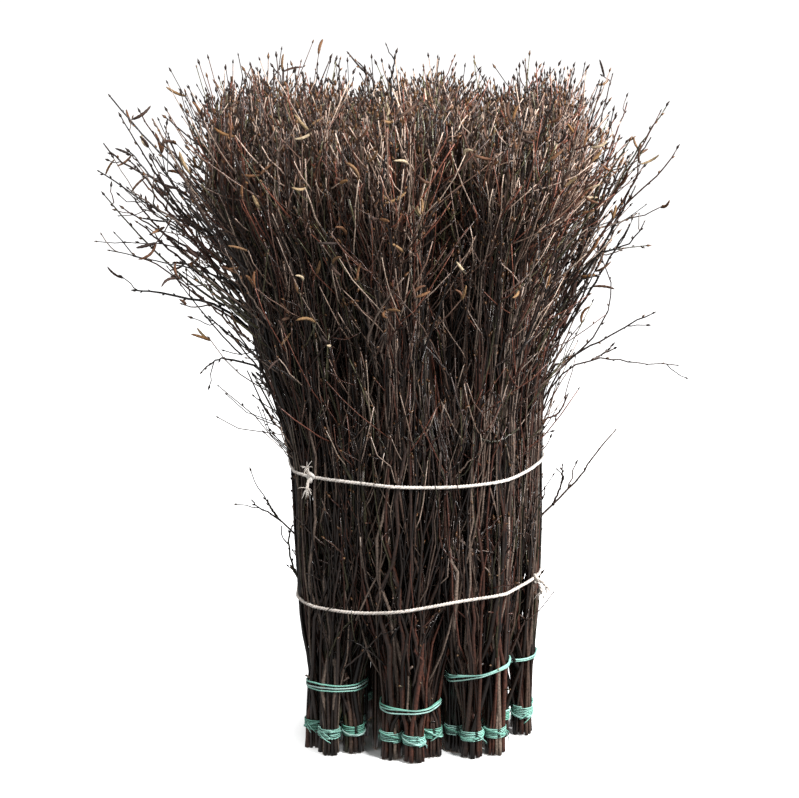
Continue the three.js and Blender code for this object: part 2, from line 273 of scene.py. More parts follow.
def add_tubes(pile, path, radius, sides, tone, up_the_map, end_tone=None):
    """Tapered tubes along paths (tubes, steps, 3), closed at both ends."""
    tubes, steps = path.shape[:2]
    along = unit(np.gradient(path, axis=1))
    lean = unit(path[:, -1] - path[:, 0])
    upright = np.abs(lean[:, 2:]) > 0.8
    reference = np.where(upright, [1.0, 0.2, 0.0], [0.0, 0.0, 1.0])
    first = unit(np.cross(reference[:, None], along))
    second = np.cross(along, first)
    turn = 2 * math.pi * np.arange(sides) / sides
    start = np.arange(tubes)[:, None, None] * TUBE_TURN
    cos, sin = np.cos(turn + start)[..., None], np.sin(turn + start)[..., None]
    ring = path[:, :, None] + radius[:, :, None, None] * (cos * first[:, :, None] + sin * second[:, :, None])
    index = pile["count"] + np.arange(tubes * steps * sides).reshape(tubes, steps, sides)
    beside = np.roll(index, -1, axis=2)
    quads = np.stack([index[:, :-1], beside[:, :-1], beside[:, 1:], index[:, 1:]], axis=-1)
    left = (tone[:, None, None] + TONE_INSET + TONE_SPAN * np.arange(sides) / sides) / TONES
    left = np.broadcast_to(left, quads.shape[:3])
    right = left + TONE_SPAN / sides / TONES
    low, high = (np.broadcast_to(part[:, :, None], left.shape) for part in (up_the_map[:, :-1], up_the_map[:, 1:]))
    corners = [np.stack(pair, -1) for pair in ((left, low), (right, low), (right, high), (left, high))]
    pile["co"].append(ring.reshape(-1, 3))
    pile["quads"].append(quads.reshape(-1, 4))
    pile["quad_uv"].append(np.stack(corners, -2).reshape(-1, 4, 2))
    fan = np.arange(1, sides - 1)
    bottom = np.stack([index[:, 0, fan * 0], index[:, 0, fan + 1], index[:, 0, fan]], axis=-1)
    top = np.stack([index[:, -1, fan * 0], index[:, -1, fan], index[:, -1, fan + 1]], axis=-1)
    foot_tone = tone if end_tone is None else np.full(tubes, end_tone)
    for caps, cap_tone, level in ((bottom, foot_tone, up_the_map[:, 0]), (top, tone, up_the_map[:, -1])):
        across = np.broadcast_to((cap_tone[:, None] + 2 * TONE_INSET) / TONES, caps.shape[:2])
        up = np.broadcast_to(level[:, None] * 0.99, caps.shape[:2])
        shift = ((0, 0), (0.5 / TONES, 0), (0, 0.005))
        cap_uv = np.stack([np.stack([across + du, up + dv], -1) for du, dv in shift], axis=-2)
        pile["tris"].append(caps.reshape(-1, 3))
        pile["tri_uv"].append(cap_uv.reshape(-1, 3, 2))
    pile["count"] += tubes * steps * sides


def add_buds(pile, foot, direction, length, width, tone, up_the_map):
    """Pointed oval buds: three faces swelling from the foot and three closing to the tip."""
    first = unit(np.cross(direction, [0.3, 0.9, 0.2]))
    second = np.cross(direction, first)
    turn = 2 * math.pi * np.arange(BUD_SIDES) / BUD_SIDES
    spoke = np.cos(turn)[:, None] * first[:, None] + np.sin(turn)[:, None] * second[:, None]
    belly = (foot + direction * length[:, None] * BUD_BELLY)[:, None] + spoke * width[:, None, None] / 2
    tip = foot + direction * length[:, None]
    co = np.concatenate([foot[:, None], belly, tip[:, None]], axis=1)
    corners = co.shape[1]
    base = pile["count"] + np.arange(len(foot))[:, None, None] * corners
    faces = np.array([[0, 2, 1], [0, 3, 2], [0, 1, 3], [4, 1, 2], [4, 2, 3], [4, 3, 1]])
    rows = np.array([0.1, 0.5, 0.5, 0.5, 0.9])
    columns = np.array([0.5, 0.1, 0.5, 0.9, 0.5])
    across = (tone[:, None, None] + columns[faces]) / TONES
    up = np.clip(up_the_map[:, None, None] + BUD_AGE_SPAN * (rows[faces] - 0.5), 0.01, 0.99)
    pile["co"].append(co.reshape(-1, 3))
    pile["tris"].append((base + faces).reshape(-1, 3))
    pile["tri_uv"].append(np.stack([across, up], axis=-1).reshape(-1, 3, 2))
    pile["count"] += len(foot) * corners


def make_piece(name, pile, material):
    """One mesh from a pile, in one material, on the part's only body."""
    quads = np.concatenate(pile["quads"] or [np.zeros((0, 4), int)])
    tris = np.concatenate(pile["tris"] or [np.zeros((0, 3), int)])
    co = np.concatenate(pile["co"])
    uv = np.concatenate([part.reshape(-1, 2) for part in pile["quad_uv"] + pile["tri_uv"]])
    corners = np.concatenate([quads.ravel(), tris.ravel()])
    sizes = np.concatenate([np.full(len(quads), 4), np.full(len(tris), 3)])
    starts = np.concatenate([[0], np.cumsum(sizes)[:-1]])
    mesh = bpy.data.meshes.new(name)
    mesh.vertices.add(len(co))
    mesh.vertices.foreach_set("co", co.astype(np.float32).ravel())
    mesh.loops.add(len(corners))
    mesh.loops.foreach_set("vertex_index", corners.astype(np.int32))
    mesh.polygons.add(len(sizes))
    mesh.polygons.foreach_set("loop_start", starts.astype(np.int32))
    mesh.polygons.foreach_set("use_smooth", np.ones(len(sizes), bool))
    mesh.uv_layers.new(name="OFBake").data.foreach_set("uv", uv.astype(np.float32).ravel())
    mesh.materials.append(material)
    mesh.update(calc_edges=True)
    mesh.validate()
    piece = bpy.data.objects.new(name, mesh)
    bpy.context.scene.collection.objects.link(piece)
    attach(piece, "root")
    return piece


# Stems
# The stem of each twig is cut square, stands on its cut end among some fifteen in a small bunch, and
# runs up crookedly, a little bent at every bud, getting thinner to its tip in the crown.
STEMS_PER_BUNCH = 16
STEM_RADIUS_MM = (1.5, 4.6)
BUNCH_RADIUS = 12.4 * MM
BUNCH_FILL = 0.80
PUSHES = 80
PUSH_SHARE = 0.4
STEM_HEIGHTS = [0.0, 0.08, 0.20, 0.36, 0.80]
STEM_THICKNESS = [1.0, 0.88, 0.64, 0.50, 0.32]
THINNEST_STEM = 0.8 * MM
STEM_UNEVEN = (-0.08, 0.12)

# The stems of the middle bundle are stouter at half height, where they close the pack to the light
CORE_STOUT_HEIGHTS = [0.10, 0.20, 0.46, 0.62]
CORE_STOUT = [1.0, 1.7, 1.7, 1.0]

# Below the tie a stem has nodes at these heights, and its cut end stands out a little
FOOT_HEIGHTS = [0.0, 0.014, 0.032, 0.046]
TIE_NODE = len(FOOT_HEIGHTS)
CUT_UNEVEN = 3.0 * MM
SPLAY = (0.04, 0.16)
LOW_SPLAY = 0.3
FOOT_PULL = 0.2

# How the stems are gathered and shuffled under the tie
TIE_GATHER = 0.88
TIE_SHUFFLE = 0.18
TIE_EDGE = 0.96

# Above the tie a stem wanders from place to place in its bundle and fans out in the crown
STEM_NODES = 17
NODE_JITTER = 0.4
STEM_WANDER_HEIGHTS = [0.15, 0.205, 0.26, 0.32, 0.40, 0.50, 0.62, 0.80]
STEM_WANDER = [0.25, 0.25, 0.23, 0.20, 0.16, 0.14, 0.13, 0.13]
STEM_EDGE = 1.02
CROWN_FAN = (0.70, 1.12)
FAN_PARTS = [0.5, 1.0, 1.0]

# It bends to and fro at its nodes, the more freely the higher it is
NODE_BEND_MM = (0.6, 2.6)
NODE_KINK = 1.9 * MM
FREE_ABOVE_TIE = 0.06
FREE_HEIGHTS = [0.3, 0.7]
FREEDOM = [0, 0.7, 1.0, 1.5]

# The top of the crown, and how far stems end below it
CROWN_TOP = 0.781
CROWN_RISE_START = 0.09
CROWN_RISE = 0.14
CROWN_BEVEL_START = 0.252
CROWN_BEVEL = 1.5
TUFT_DEPTH = 0.009
TUFT_WIDTH = 0.011
CROWN_LEVEL = 0.7
TIP_DROP = 0.030
SHORT_STEM_DROP = 0.18

# A few stems stand loose: some inside the ring of bunches, the rest between the bundles, outside their ties
LOOSE_STEMS = 12
LOOSE_STEM_RADIUS_MM = (1.6, 3.4)
CORE_STEMS = 4
CORE_RADIUS = 0.009
LOOSE_SPREAD = 1.15
LOOSE_RING = (0.045, 0.050)


def alternate(count):
    """-1 and 1 by turns."""
    return np.where(np.arange(count) % 2, 1, -1)


def pack_bunch(rng):
    """Round stems of uneven thickness, pushed apart until they fill the bunch side by side."""
    radius = rng.uniform(*STEM_RADIUS_MM, STEMS_PER_BUNCH) * MM
    radius *= math.sqrt(BUNCH_FILL * BUNCH_RADIUS ** 2 / (radius ** 2).sum())
    spot = rng.normal(0, BUNCH_RADIUS * 0.5, (STEMS_PER_BUNCH, 2))
    same = np.eye(STEMS_PER_BUNCH)
    for _ in range(PUSHES):
        apart = spot[:, None] - spot[None]
        distance = np.linalg.norm(apart, axis=-1) + same
        overlap = np.maximum(radius[:, None] + radius[None] - distance, 0) * (1 - same)
        spot = spot + PUSH_SHARE * (apart / distance[..., None] * overlap[..., None]).sum(axis=1)
        spot *= np.minimum(1, (BUNCH_RADIUS - radius[:, None]) / np.maximum(size_of(spot), TINY))
    return spot, radius


def crown_height(points):
    """The crown is nearly level, in tufts: it rises a little to the left and falls off at that edge."""
    x, y = points[..., 0], points[..., 1]
    level = CROWN_TOP + np.maximum(0, -x - CROWN_RISE_START) * CROWN_RISE
    bevel = np.maximum(0, -x - CROWN_BEVEL_START) * CROWN_BEVEL
    tufts = np.sin(x / TUFT_WIDTH + 2 * np.sin(y / TUFT_WIDTH * 0.7)) + np.sin(x / TUFT_WIDTH * 0.43 + 1.7)
    return level - bevel + TUFT_DEPTH * tufts


def place_feet(bundle, rng):
    """Where the stems of a bundle stand and pass under its tie, and how thick they are."""
    packed = [pack_bunch(rng) for _ in range(BUNCHES)]
    local = np.stack([spot for spot, _ in packed])
    thick = np.concatenate([radius for _, radius in packed])
    base = (bundle["feet"][:, None] + local).reshape(-1, 2)
    gathered = (bundle["feet"][:, None] - bundle["middle"]) * TIE_GATHER + local
    at_tie = gathered.reshape(-1, 2) / bundle["waist"] + rng.normal(0, TIE_SHUFFLE, base.shape)
    at_tie *= TIE_EDGE / np.maximum(TIE_EDGE, size_of(at_tie))
    inward = math.atan2(-bundle["middle"][1], -bundle["middle"][0])
    turn = inward + rng.uniform(-LOOSE_SPREAD, LOOSE_SPREAD, LOOSE_STEMS)
    ring = rng.uniform(*LOOSE_RING, (LOOSE_STEMS, 1))
    turn[:CORE_STEMS] = 2 * math.pi * np.arange(CORE_STEMS) / CORE_STEMS
    ring[:CORE_STEMS] = CORE_RADIUS
    loose = heading(turn) * ring
    base = np.concatenate([base, bundle["middle"] + loose])
    at_tie = np.concatenate([at_tie, loose / bundle["waist"]])
    thick = np.concatenate([thick, rng.uniform(*LOOSE_STEM_RADIUS_MM, LOOSE_STEMS) * MM])
    local = np.concatenate([local.reshape(-1, 2), np.zeros((LOOSE_STEMS, 2))])
    return base, local, at_tie, thick


def wander_up(at_tie, rng):
    """The share of the bundle's cross-section that each stem reaches by each step of its wander."""
    reached = [at_tie]
    for wander in STEM_WANDER:
        moved = reached[-1] + rng.normal(0, wander, at_tie.shape)
        reached.append(moved * np.minimum(1, STEM_EDGE / size_of(moved)))
    fan = rng.uniform(*CROWN_FAN, (len(at_tie), 1))
    for number, part in enumerate(FAN_PARTS, -len(FAN_PARTS)):
        reached[number] = reached[number] * (1 + (fan - 1) * part)
    return reached


def grow_stems(bundle, rng):
    """The lines of a bundle's stems, and their radius at every node."""
    base, local, at_tie, thick = place_feet(bundle, rng)
    reached = wander_up(at_tie, rng)
    count, tie = len(base), bundle["tie"]
    top = place(bundle, reached[-1], np.full(count, CROWN_LEVEL))
    tip = crown_height(top) - rng.exponential(TIP_DROP, count)
    tip = tip - SHORT_STEM_DROP * rng.uniform(0, 1, count) ** 3
    jitter = rng.uniform(-NODE_JITTER, NODE_JITTER, (count, STEM_NODES)) / STEM_NODES
    jitter[:, [0, -1]] = 0
    way = np.linspace(0, 1, STEM_NODES) + jitter
    height = np.concatenate([np.tile(FOOT_HEIGHTS, (count, 1)), tie + (tip - tie)[:, None] * way], axis=1)
    height[:, 0] = rng.uniform(0, CUT_UNEVEN, count)
    step_heights = [tie, *STEM_WANDER_HEIGHTS]
    above = np.clip(height, tie, STEM_WANDER_HEIGHTS[-1])
    steps = np.stack(reached, axis=1)
    share = np.stack([
        np.stack([np.interp(row, step_heights, stem[:, axis]) for row, stem in zip(above, steps)])
        for axis in range(2)
    ], axis=-1)
    path = place(bundle, share, np.maximum(height, tie))
    path[..., 2] = height
    splay = local * rng.uniform(*SPLAY, (count, 1))
    path[:, 0, :2] = base + splay
    path[:, 1, :2] = base + splay * LOW_SPLAY
    path[:, 2, :2] = base
    path[:, 3, :2] = base * (1 - FOOT_PULL) + path[:, TIE_NODE, :2] * FOOT_PULL
    facing = rng.uniform(0, 2 * math.pi, count)
    sideways = np.concatenate([heading(facing), np.zeros((count, 1))], axis=-1)
    bend = rng.uniform(*NODE_BEND_MM, (count, STEM_NODES)) * MM * alternate(STEM_NODES)
    freedom = np.interp(height[:, TIE_NODE:], [tie, tie + FREE_ABOVE_TIE, *FREE_HEIGHTS], FREEDOM)
    path[:, TIE_NODE:] += sideways[:, None] * (bend * freedom)[..., None]
    kink = rng.normal(0, NODE_KINK, (count, STEM_NODES, 3)) * [1, 1, 0]
    path[:, TIE_NODE:] += kink * freedom[..., None]
    path[:, TIE_NODE + 1:] = hold_inside(bundle, path[:, TIE_NODE + 1:])
    radius = np.maximum(thick[:, None] * np.interp(height, STEM_HEIGHTS, STEM_THICKNESS), THINNEST_STEM)
    radius[:, TIE_NODE:-1] *= 1 + rng.uniform(*STEM_UNEVEN, (count, STEM_NODES - 1))
    if bundle["side"] == "centre":
        radius *= np.interp(height, CORE_STOUT_HEIGHTS, CORE_STOUT)
    return path, radius


# Branches, shoots and buds
# Side branches leave a stem at a narrow angle and are pressed upwards by the cords. Young shoots stand
# off more, bent at each bud, and end in a stout pointed bud. All are bark-covered birch wood.
LEAST_RADIUS = 0.80 * MM

# Families of branches: the heights that they leave at, how long they are, how thick beside their
# parent, in how many steps they are drawn, and how far they spread for their rise
MIDDLE_BRANCHES = ((0.30, 0.56), (0.18, 0.42), (0.5, 0.8), 11, (0.06, 0.40))
LOW_BRANCHES = ((0.07, 0.36), (0.07, 0.36), (0.5, 0.85), 9, (0.08, 0.55))
HIGH_BRANCHES = ((0.48, 0.74), (0.05, 0.24), (0.6, 0.95), 7, (0.10, 0.60))
LEAST_RISE = 0.03
BRANCH_OUTWARD = 0.5
BRANCH_ASIDE = 0.8
BRANCH_EASE = 1.7
BRANCH_BEND_MM = (0.4, 2.4)
BRANCH_DRIFT = 2.2 * MM
BRANCH_KINK = 1.2 * MM
BRANCH_DROP = 0.028
BRANCH_TIP_DROP = 0.014
LEAST_SQUEEZE = 0.2

SHOOT_STEPS = 5
SHOOT_LENGTHS = (0.030, 0.105)
SHORTEST_SHOOT = 0.014
STOUTEST_SHOOT = 1.3 * MM
SHOOT_ANGLES = (0.3, 1.1)
SHOOT_OUTWARD = 0.3
SHOOT_LIFT = (0.05, 0.45)
SHOOT_CROOK = 1.3 * MM
SHOOT_DROP = 0.018
PROUD_SHARE = 0.05
PROUD_JUT = (0.008, 0.026)
HELD_BELOW = 0.38
TIP_MARGIN = 10 * MM

BUD_LENGTH = 5.6 * MM
BUD_WIDTH = 2.6 * MM
BUD_SIZES = (0.65, 1.3)
LAST_BUD = 0.96
TIP_BUD_LENGTH = 8.0 * MM
TIP_BUD_WIDTH = 3.1 * MM
TIP_BUD_SIZES = (0.6, 1.35)
TIP_BUD_SUNK = 1.2 * MM
PALE_BUDS = 0.3

STUBS = 90
STUB_PLACES = (0.14, 0.55)
STUB_LENGTHS = (0.003, 0.009)
STUB_RADIUS = 1.2 * MM

# The tones on the map: the bark's own, two of buds and one of bare wood. The last two of the bark are
# pale, and are kept for branches and shoots.
BARK_TONES = 13
DARK_BARK_TONES = 11
BUD_TONE = 13
WOOD_TONE = 15
# Where a point sits up the map follows its height: it stands for the bark's age, and also for painted light,
# as the bark is tinted darker low in the pack and lighter at the top of the crown.
AGE_AND_LIGHT_AT_FOOT = 0.04
AGE_AND_LIGHT_RISE = 0.6
AGE_AND_LIGHT_TOP = 0.8


def points_along(path, share):
    """Points and directions at shares of the way along paths, one row of shares for each path."""
    steps = path.shape[1]
    at = np.clip(share * (steps - 1), 0, steps - END_GAP)
    low = np.floor(at).astype(int)
    row = np.arange(len(path))[:, None]
    part = (at - low)[..., None]
    start, end = path[row, low], path[row, low + 1]
    return start * (1 - part) + end * part, unit(end - start)


def values_along(values, share):
    return points_along(values[..., None], share)[0][..., 0]


def shares_at_heights(path, height):
    """The share of the way along each path, by steps, at which it passes the given heights."""
    steps = np.arange(path.shape[1]) / (path.shape[1] - 1)
    return np.stack([np.interp(row, line[:, 2], steps) for row, line in zip(height, path)])


def grow_branches(bundle, rng, path, radius, each, start_heights, lengths, thickness, steps, spread):
    """Side branches that leave their stem at a narrow angle and run up beside it through the pack."""
    height = rng.uniform(*start_heights, (len(path), each))
    height = np.minimum(height, path[:, -1:, 2] - LEAST_RISE)
    share = shares_at_heights(path, height)
    start = points_along(path, share)[0].reshape(-1, 3)
    count, foot = len(start), start[:, 2]
    thick = np.maximum(values_along(radius, share).reshape(-1) * rng.uniform(*thickness, count), LEAST_RADIUS)
    end = foot + rng.uniform(*lengths, count)
    end = np.minimum(end, crown_height(start) - rng.exponential(BRANCH_DROP, count))
    rise = np.maximum(end - foot, LEAST_RISE)
    way = np.linspace(0, 1, steps)
    height = foot[:, None] + rise[:, None] * way
    from_share = share_of(bundle, start)
    aside = unit(unit(from_share) * BRANCH_OUTWARD + rng.normal(0, BRANCH_ASIDE, from_share.shape))
    reach = from_table(bundle["reach"], angle_of(aside), height[:, -1])
    shift = (rise * rng.uniform(*spread, count) / reach)[:, None] * aside
    ease = 1 - (1 - way) ** BRANCH_EASE
    branch = place(bundle, from_share[:, None] + shift[:, None] * ease[:, None], height)
    facing = unit(rng.normal(0, 1, (count, 3)) * [1, 1, 0])
    bend = rng.uniform(*BRANCH_BEND_MM, (count, steps)) * MM * alternate(steps)
    drift = rng.normal(0, BRANCH_DRIFT, (count, steps - 1, 3)).cumsum(axis=1)
    drift += rng.normal(0, BRANCH_KINK, (count, steps - 1, 3))
    branch[:, 1:] += facing[:, None] * bend[:, 1:, None] + drift * [1, 1, 0]
    branch[:, 1:] = hold_inside(bundle, branch[:, 1:])
    room = crown_height(branch[:, -1]) - rng.exponential(BRANCH_TIP_DROP, count) - foot
    squeeze = np.clip(room / (branch[:, -1, 2] - foot), LEAST_SQUEEZE, 1)
    branch[..., 2] = foot[:, None] + (branch[..., 2] - foot[:, None]) * squeeze[:, None]
    branch_radius = np.maximum(thick[:, None] * (1 - 0.5 * way), LEAST_RADIUS)
    return branch, branch_radius


def grow_shoots(bundle, rng, path, radius, each, lowest, lengths, free=False):
    """Young side shoots: they leave at a wider angle and bend upwards to the light."""
    share = rng.uniform(lowest, 1, (len(path), each))
    start, along = (part.reshape(-1, 3) for part in points_along(path, share))
    count = len(start)
    thick = np.clip(values_along(radius, share).reshape(-1) * 0.9, LEAST_RADIUS, STOUTEST_SHOOT)
    aside = unit(np.cross(along, unit(rng.normal(0, 1, (count, 3)))))
    outward = np.concatenate([unit(start[:, :2]), np.zeros((count, 1))], axis=1)
    aside = unit(aside + outward * SHOOT_OUTWARD)
    angle = rng.uniform(*SHOOT_ANGLES, count)[:, None]
    direction = along * np.cos(angle) + aside * np.sin(angle)
    length = rng.uniform(*lengths, count)
    proud = rng.uniform(0, 1, count) < PROUD_SHARE
    jut = np.where(proud, rng.uniform(*PROUD_JUT, count), rng.normal(-SHOOT_DROP, SHOOT_DROP, count))
    room = np.clip((crown_height(start) + jut - start[:, 2]) / length, 0.3, 1)
    length = np.maximum(length * room, SHORTEST_SHOOT)[:, None, None]
    way = np.linspace(0, 1, SHOOT_STEPS)[:, None]
    lift = np.array([0, 0, 1.0]) * rng.uniform(*SHOOT_LIFT, (count, 1, 1))
    shoot = start[:, None] + length * (direction[:, None] * way + lift * way ** 2)
    shoot[:, 1:] += rng.normal(0, SHOOT_CROOK, shoot[:, 1:].shape).cumsum(axis=1)
    if not free:
        held = (shoot[..., 2] < HELD_BELOW)[:, 1:, None]
        shoot[:, 1:] = np.where(held, hold_inside(bundle, shoot[:, 1:]), shoot[:, 1:])
    shoot = within_box(shoot, TIP_MARGIN)
    return shoot, thick[:, None] * np.linspace(1, 0.75, SHOOT_STEPS)


def age_and_light_of(path, youth):
    """Up the map, by height, bark goes from the thick cut end at 0 to this year's growth at 1, and is tinted
    with painted light: darker low in the pack and lighter at the top of the crown.
    """
    return np.clip(AGE_AND_LIGHT_AT_FOOT + path[..., 2] / AGE_AND_LIGHT_TOP * AGE_AND_LIGHT_RISE + youth, LOW_AGE, HIGH_AGE)


def bud_tones(rng, count):
    """Most buds are dark, and some are pale."""
    return BUD_TONE + (rng.uniform(0, 1, count) < PALE_BUDS)


def add_side_buds(pile, rng, path, radius, each, lowest):
    """Alternate buds that lie close to the twig."""
    count = len(path)
    share = lowest + (LAST_BUD - lowest) * (np.arange(each) + rng.uniform(0.15, 0.85, (count, each))) / each
    foot, along = points_along(path, share)
    thick = values_along(radius, share)
    side = unit(np.cross(along, unit(rng.normal(0, 1, (count, 1, 3)))))
    side = side * alternate(each)[:, None]
    direction = unit(along * 0.9 + side * 0.42).reshape(-1, 3)
    foot = (foot + side * thick[..., None] * 0.5).reshape(-1, 3)
    size = rng.uniform(*BUD_SIZES, len(foot))
    tone = bud_tones(rng, len(foot))
    add_buds(pile, foot, direction, BUD_LENGTH * size, BUD_WIDTH * size, tone, age_and_light_of(foot, 0.1))


def add_tip_buds(pile, rng, path):
    direction = unit(path[:, -1] - path[:, -2])
    size = rng.uniform(*TIP_BUD_SIZES, len(path))
    foot = path[:, -1] - direction * TIP_BUD_SUNK
    tone = bud_tones(rng, len(foot))
    add_buds(pile, foot, direction, TIP_BUD_LENGTH * size, TIP_BUD_WIDTH * size, tone, age_and_light_of(foot, 0.0))


def add_stubs(pile, rng, path, radius):
    """Short broken ends of side twigs on the lower half of the stems, pale where they broke."""
    chosen = rng.integers(0, len(path), STUBS)
    share = rng.uniform(*STUB_PLACES, (STUBS, 1))
    foot, along = (part[:, 0] for part in points_along(path[chosen], share))
    aside = unit(np.cross(along, rng.normal(0, 1, (STUBS, 3))))
    direction = unit(along * rng.uniform(0.2, 0.9, (STUBS, 1)) + aside)
    reach = values_along(radius[chosen], share) + rng.uniform(*STUB_LENGTHS, (STUBS, 1))
    from_tip = foot[:, None] + direction[:, None] * reach[..., None] * np.array([1.0, 0])[:, None]
    thick = np.full((STUBS, 2), STUB_RADIUS) * rng.uniform(0.8, 1.4, (STUBS, 1))
    tone = rng.integers(0, BARK_TONES, STUBS)
    add_tubes(pile, from_tip, thick, 4, tone, age_and_light_of(from_tip, 0.2), end_tone=WOOD_TONE)


def grow_bundle(bundle, rng):
    """All the twigs of one bundle in one pile, and the tips that catkins can hang from."""
    pile = new_pile()
    inner = bundle["side"] == "centre"
    stems, stem_radius = grow_stems(bundle, rng)
    stem_tone = rng.integers(0, DARK_BARK_TONES, len(stems))
    add_tubes(pile, stems, stem_radius, 5, stem_tone, age_and_light_of(stems, 0.0), end_tone=WOOD_TONE)
    bundle["stems"], bundle["stem_radius"] = stems, stem_radius
    each = 1 if inner else 2
    middle = grow_branches(bundle, rng, stems, stem_radius, each, *MIDDLE_BRANCHES)

    # Each family has its lines, their radius, where its shoots begin, and its shoots and buds on each line
    families = [(stems, stem_radius, 0.86, each, 3), (*middle, 0.35, 2, 3)]
    if not inner:
        low = grow_branches(bundle, rng, stems, stem_radius, each, *LOW_BRANCHES)
        families.append((*low, 0.45, 1, 2))
    add_stubs(pile, rng, stems, stem_radius)
    for parent, parent_radius in ((stems, stem_radius), middle):
        high = grow_branches(bundle, rng, parent, parent_radius, 1, *HIGH_BRANCHES)
        families.append((*high, 0.25, 1, 3))
    tips = []
    for number, (parent, parent_radius, lowest, shoots_each, buds_each) in enumerate(families):
        if number:
            tone = rng.integers(0, BARK_TONES, len(parent))
            add_tubes(pile, parent, parent_radius, 3, tone, age_and_light_of(parent, 0.1 if lowest > 0.3 else 0.25))
        shoots, radius = grow_shoots(bundle, rng, parent, parent_radius, shoots_each, lowest, SHOOT_LENGTHS)
        tone = rng.integers(0, BARK_TONES, len(shoots))
        add_tubes(pile, shoots, radius, 3, tone, age_and_light_of(shoots, 0.35))
        add_side_buds(pile, rng, shoots, radius, 1, 0.3)
        add_tip_buds(pile, rng, shoots)
        add_side_buds(pile, rng, parent, parent_radius, buds_each, 0.35)
        add_tip_buds(pile, rng, parent)
        tips.append(shoots)
    return pile, np.concatenate(tips)


# Stray twigs
# Single twigs of the same birch that no cord holds in: they lean out at both sides and over the top, and
# some lie crosswise on the outside. Their routes are listed in millimetres, root first.
STRAYS = {
    "front_left": [
        [(-239, -60, 648), (-284, -50, 699), (-321, -40, 737), (-360, -30, 781)],
        [(-214, -90, 687), (-239, -100, 721), (-272, -110, 751), (-288, -115, 766)],
        [(-255, -80, 662), (-303, -95, 693), (-339, -105, 714), (-359, -115, 735)],
        [(-210, -80, 563), (-251, -95, 587), (-299, -110, 601), (-355, -120, 616)],
        [(-236, -110, 626), (-272, -130, 656), (-289, -140, 652), (-314, -150, 657)],
        [(-139, -60, 196), (-152, -60, 224), (-157, -60, 255), (-154, -60, 272)],
    ],
    "back_left": [
        [(-257, 30, 659), (-291, 40, 705), (-311, 45, 720), (-334, 50, 754)],
        [(-226, 60, 673), (-244, 65, 717), (-261, 70, 744), (-274, 75, 774)],
        [(-255, 0, 616), (-319, 5, 649), (-360, 10, 677), (-380, 15, 689)],
        [(-209, 5, 503), (-259, 10, 535), (-311, 15, 576), (-341, 20, 587)],
        [(-234, 20, 522), (-285, 30, 535), (-317, 35, 541), (-341, 40, 542)],
        [(-254, 50, 575), (-307, 70, 593), (-332, 80, 593), (-357, 85, 594)],
        [(-189, 10, 448), (-230, 12, 463), (-245, 14, 462), (-262, 15, 449)],
        [(-205, 20, 473), (-232, 30, 493), (-255, 40, 508)],
        [(-143, 10, 233), (-172, 5, 267), (-196, 0, 283), (-202, 0, 290)],
    ],
    "right": [
        [(202, 20, 613), (226, 25, 656), (253, 30, 706), (271, 35, 733), (292, 40, 763)],
        [(192, -40, 592), (215, -45, 629), (241, -50, 662), (277, -55, 697), (295, -60, 724)],
        [(180, -45, 566), (206, -62, 602), (239, -70, 615), (258, -75, 640)],
        [(174, 40, 543), (216, 55, 583), (249, 65, 590), (273, 70, 592)],
        [(195, 0, 598), (209, 0, 622), (236, 5, 630), (254, 5, 639)],
        [(183, 20, 690), (198, 20, 738), (213, 20, 790)],
        [(204, 60, 685), (215, 65, 739), (229, 70, 797)],
        [(156, 0, 451), (172, 0, 462), (197, -5, 480), (221, -10, 493), (255, -15, 515), (274, -20, 524)],
        [(165, 20, 438), (207, 25, 460), (239, 30, 459), (266, 35, 454), (310, 40, 451)],
        [(142, 20, 256), (161, 15, 282), (184, 10, 308), (197, 5, 325), (207, 0, 344), (234, 0, 378)],
        [
            (169, -20, 461), (196, -30, 488), (217, -40, 524),
            (223, -50, 562), (211, -50, 596), (199, -45, 623),
        ],
        [(146, 30, 376), (168, 35, 392), (179, 40, 412)],
    ],
    "front_right": [
        [(182, -100, 636), (200, -110, 684), (214, -115, 705), (234, -125, 740)],
        [(120, -150, 700), (135, -165, 760), (150, -175, 800)],
    ],
    "back_right": [
        [(140, 130, 600), (175, 165, 670), (205, 185, 735)],
        [(105, 165, 560), (125, 210, 610), (140, 240, 650)],
        [(145, 110, 500), (195, 145, 540), (235, 160, 580)],
    ],
    "back": [
        [(-56, 150, 780), (-73, 150, 800), (-86, 150, 816)],
        [(-50, 190, 580), (-70, 235, 640), (-80, 260, 690)],
        [(10, 195, 640), (15, 235, 700), (10, 250, 760)],
        [(-89, 80, 760), (-97, 80, 790), (-97, 80, 815)],
    ],
    "front": [
        [(-35, -20, 790), (-33, -20, 809), (-30, -20, 830)],
        [(-35, -190, 640), (-45, -225, 690), (-40, -245, 740)],
        [(20, -185, 560), (30, -220, 600), (45, -240, 640)],
    ],
}
STRAY_STEPS = 14
STRAY_ROOT_DROP = 0.070
STRAY_ROOT_SHARE = 0.6
STRAY_RADIUS_MM = (1.55, 0.8)
STRAY_BEND_MM = (0.3, 1.1)
STRAY_SHOOT_LENGTHS = (0.015, 0.045)
LAST_POINT_GAP = 1.00001

# Forks: second arms that leave a stray at one of its points
FORKS = {
    "back_left": [[(-172, 5, 267), (-180, 8, 279), (-187, 10, 290)]],
    "right": [
        [(207, 25, 460), (220, 30, 466), (231, 35, 474)],
        [(161, 15, 282), (172, 20, 308), (173, 25, 328)],
    ],
}

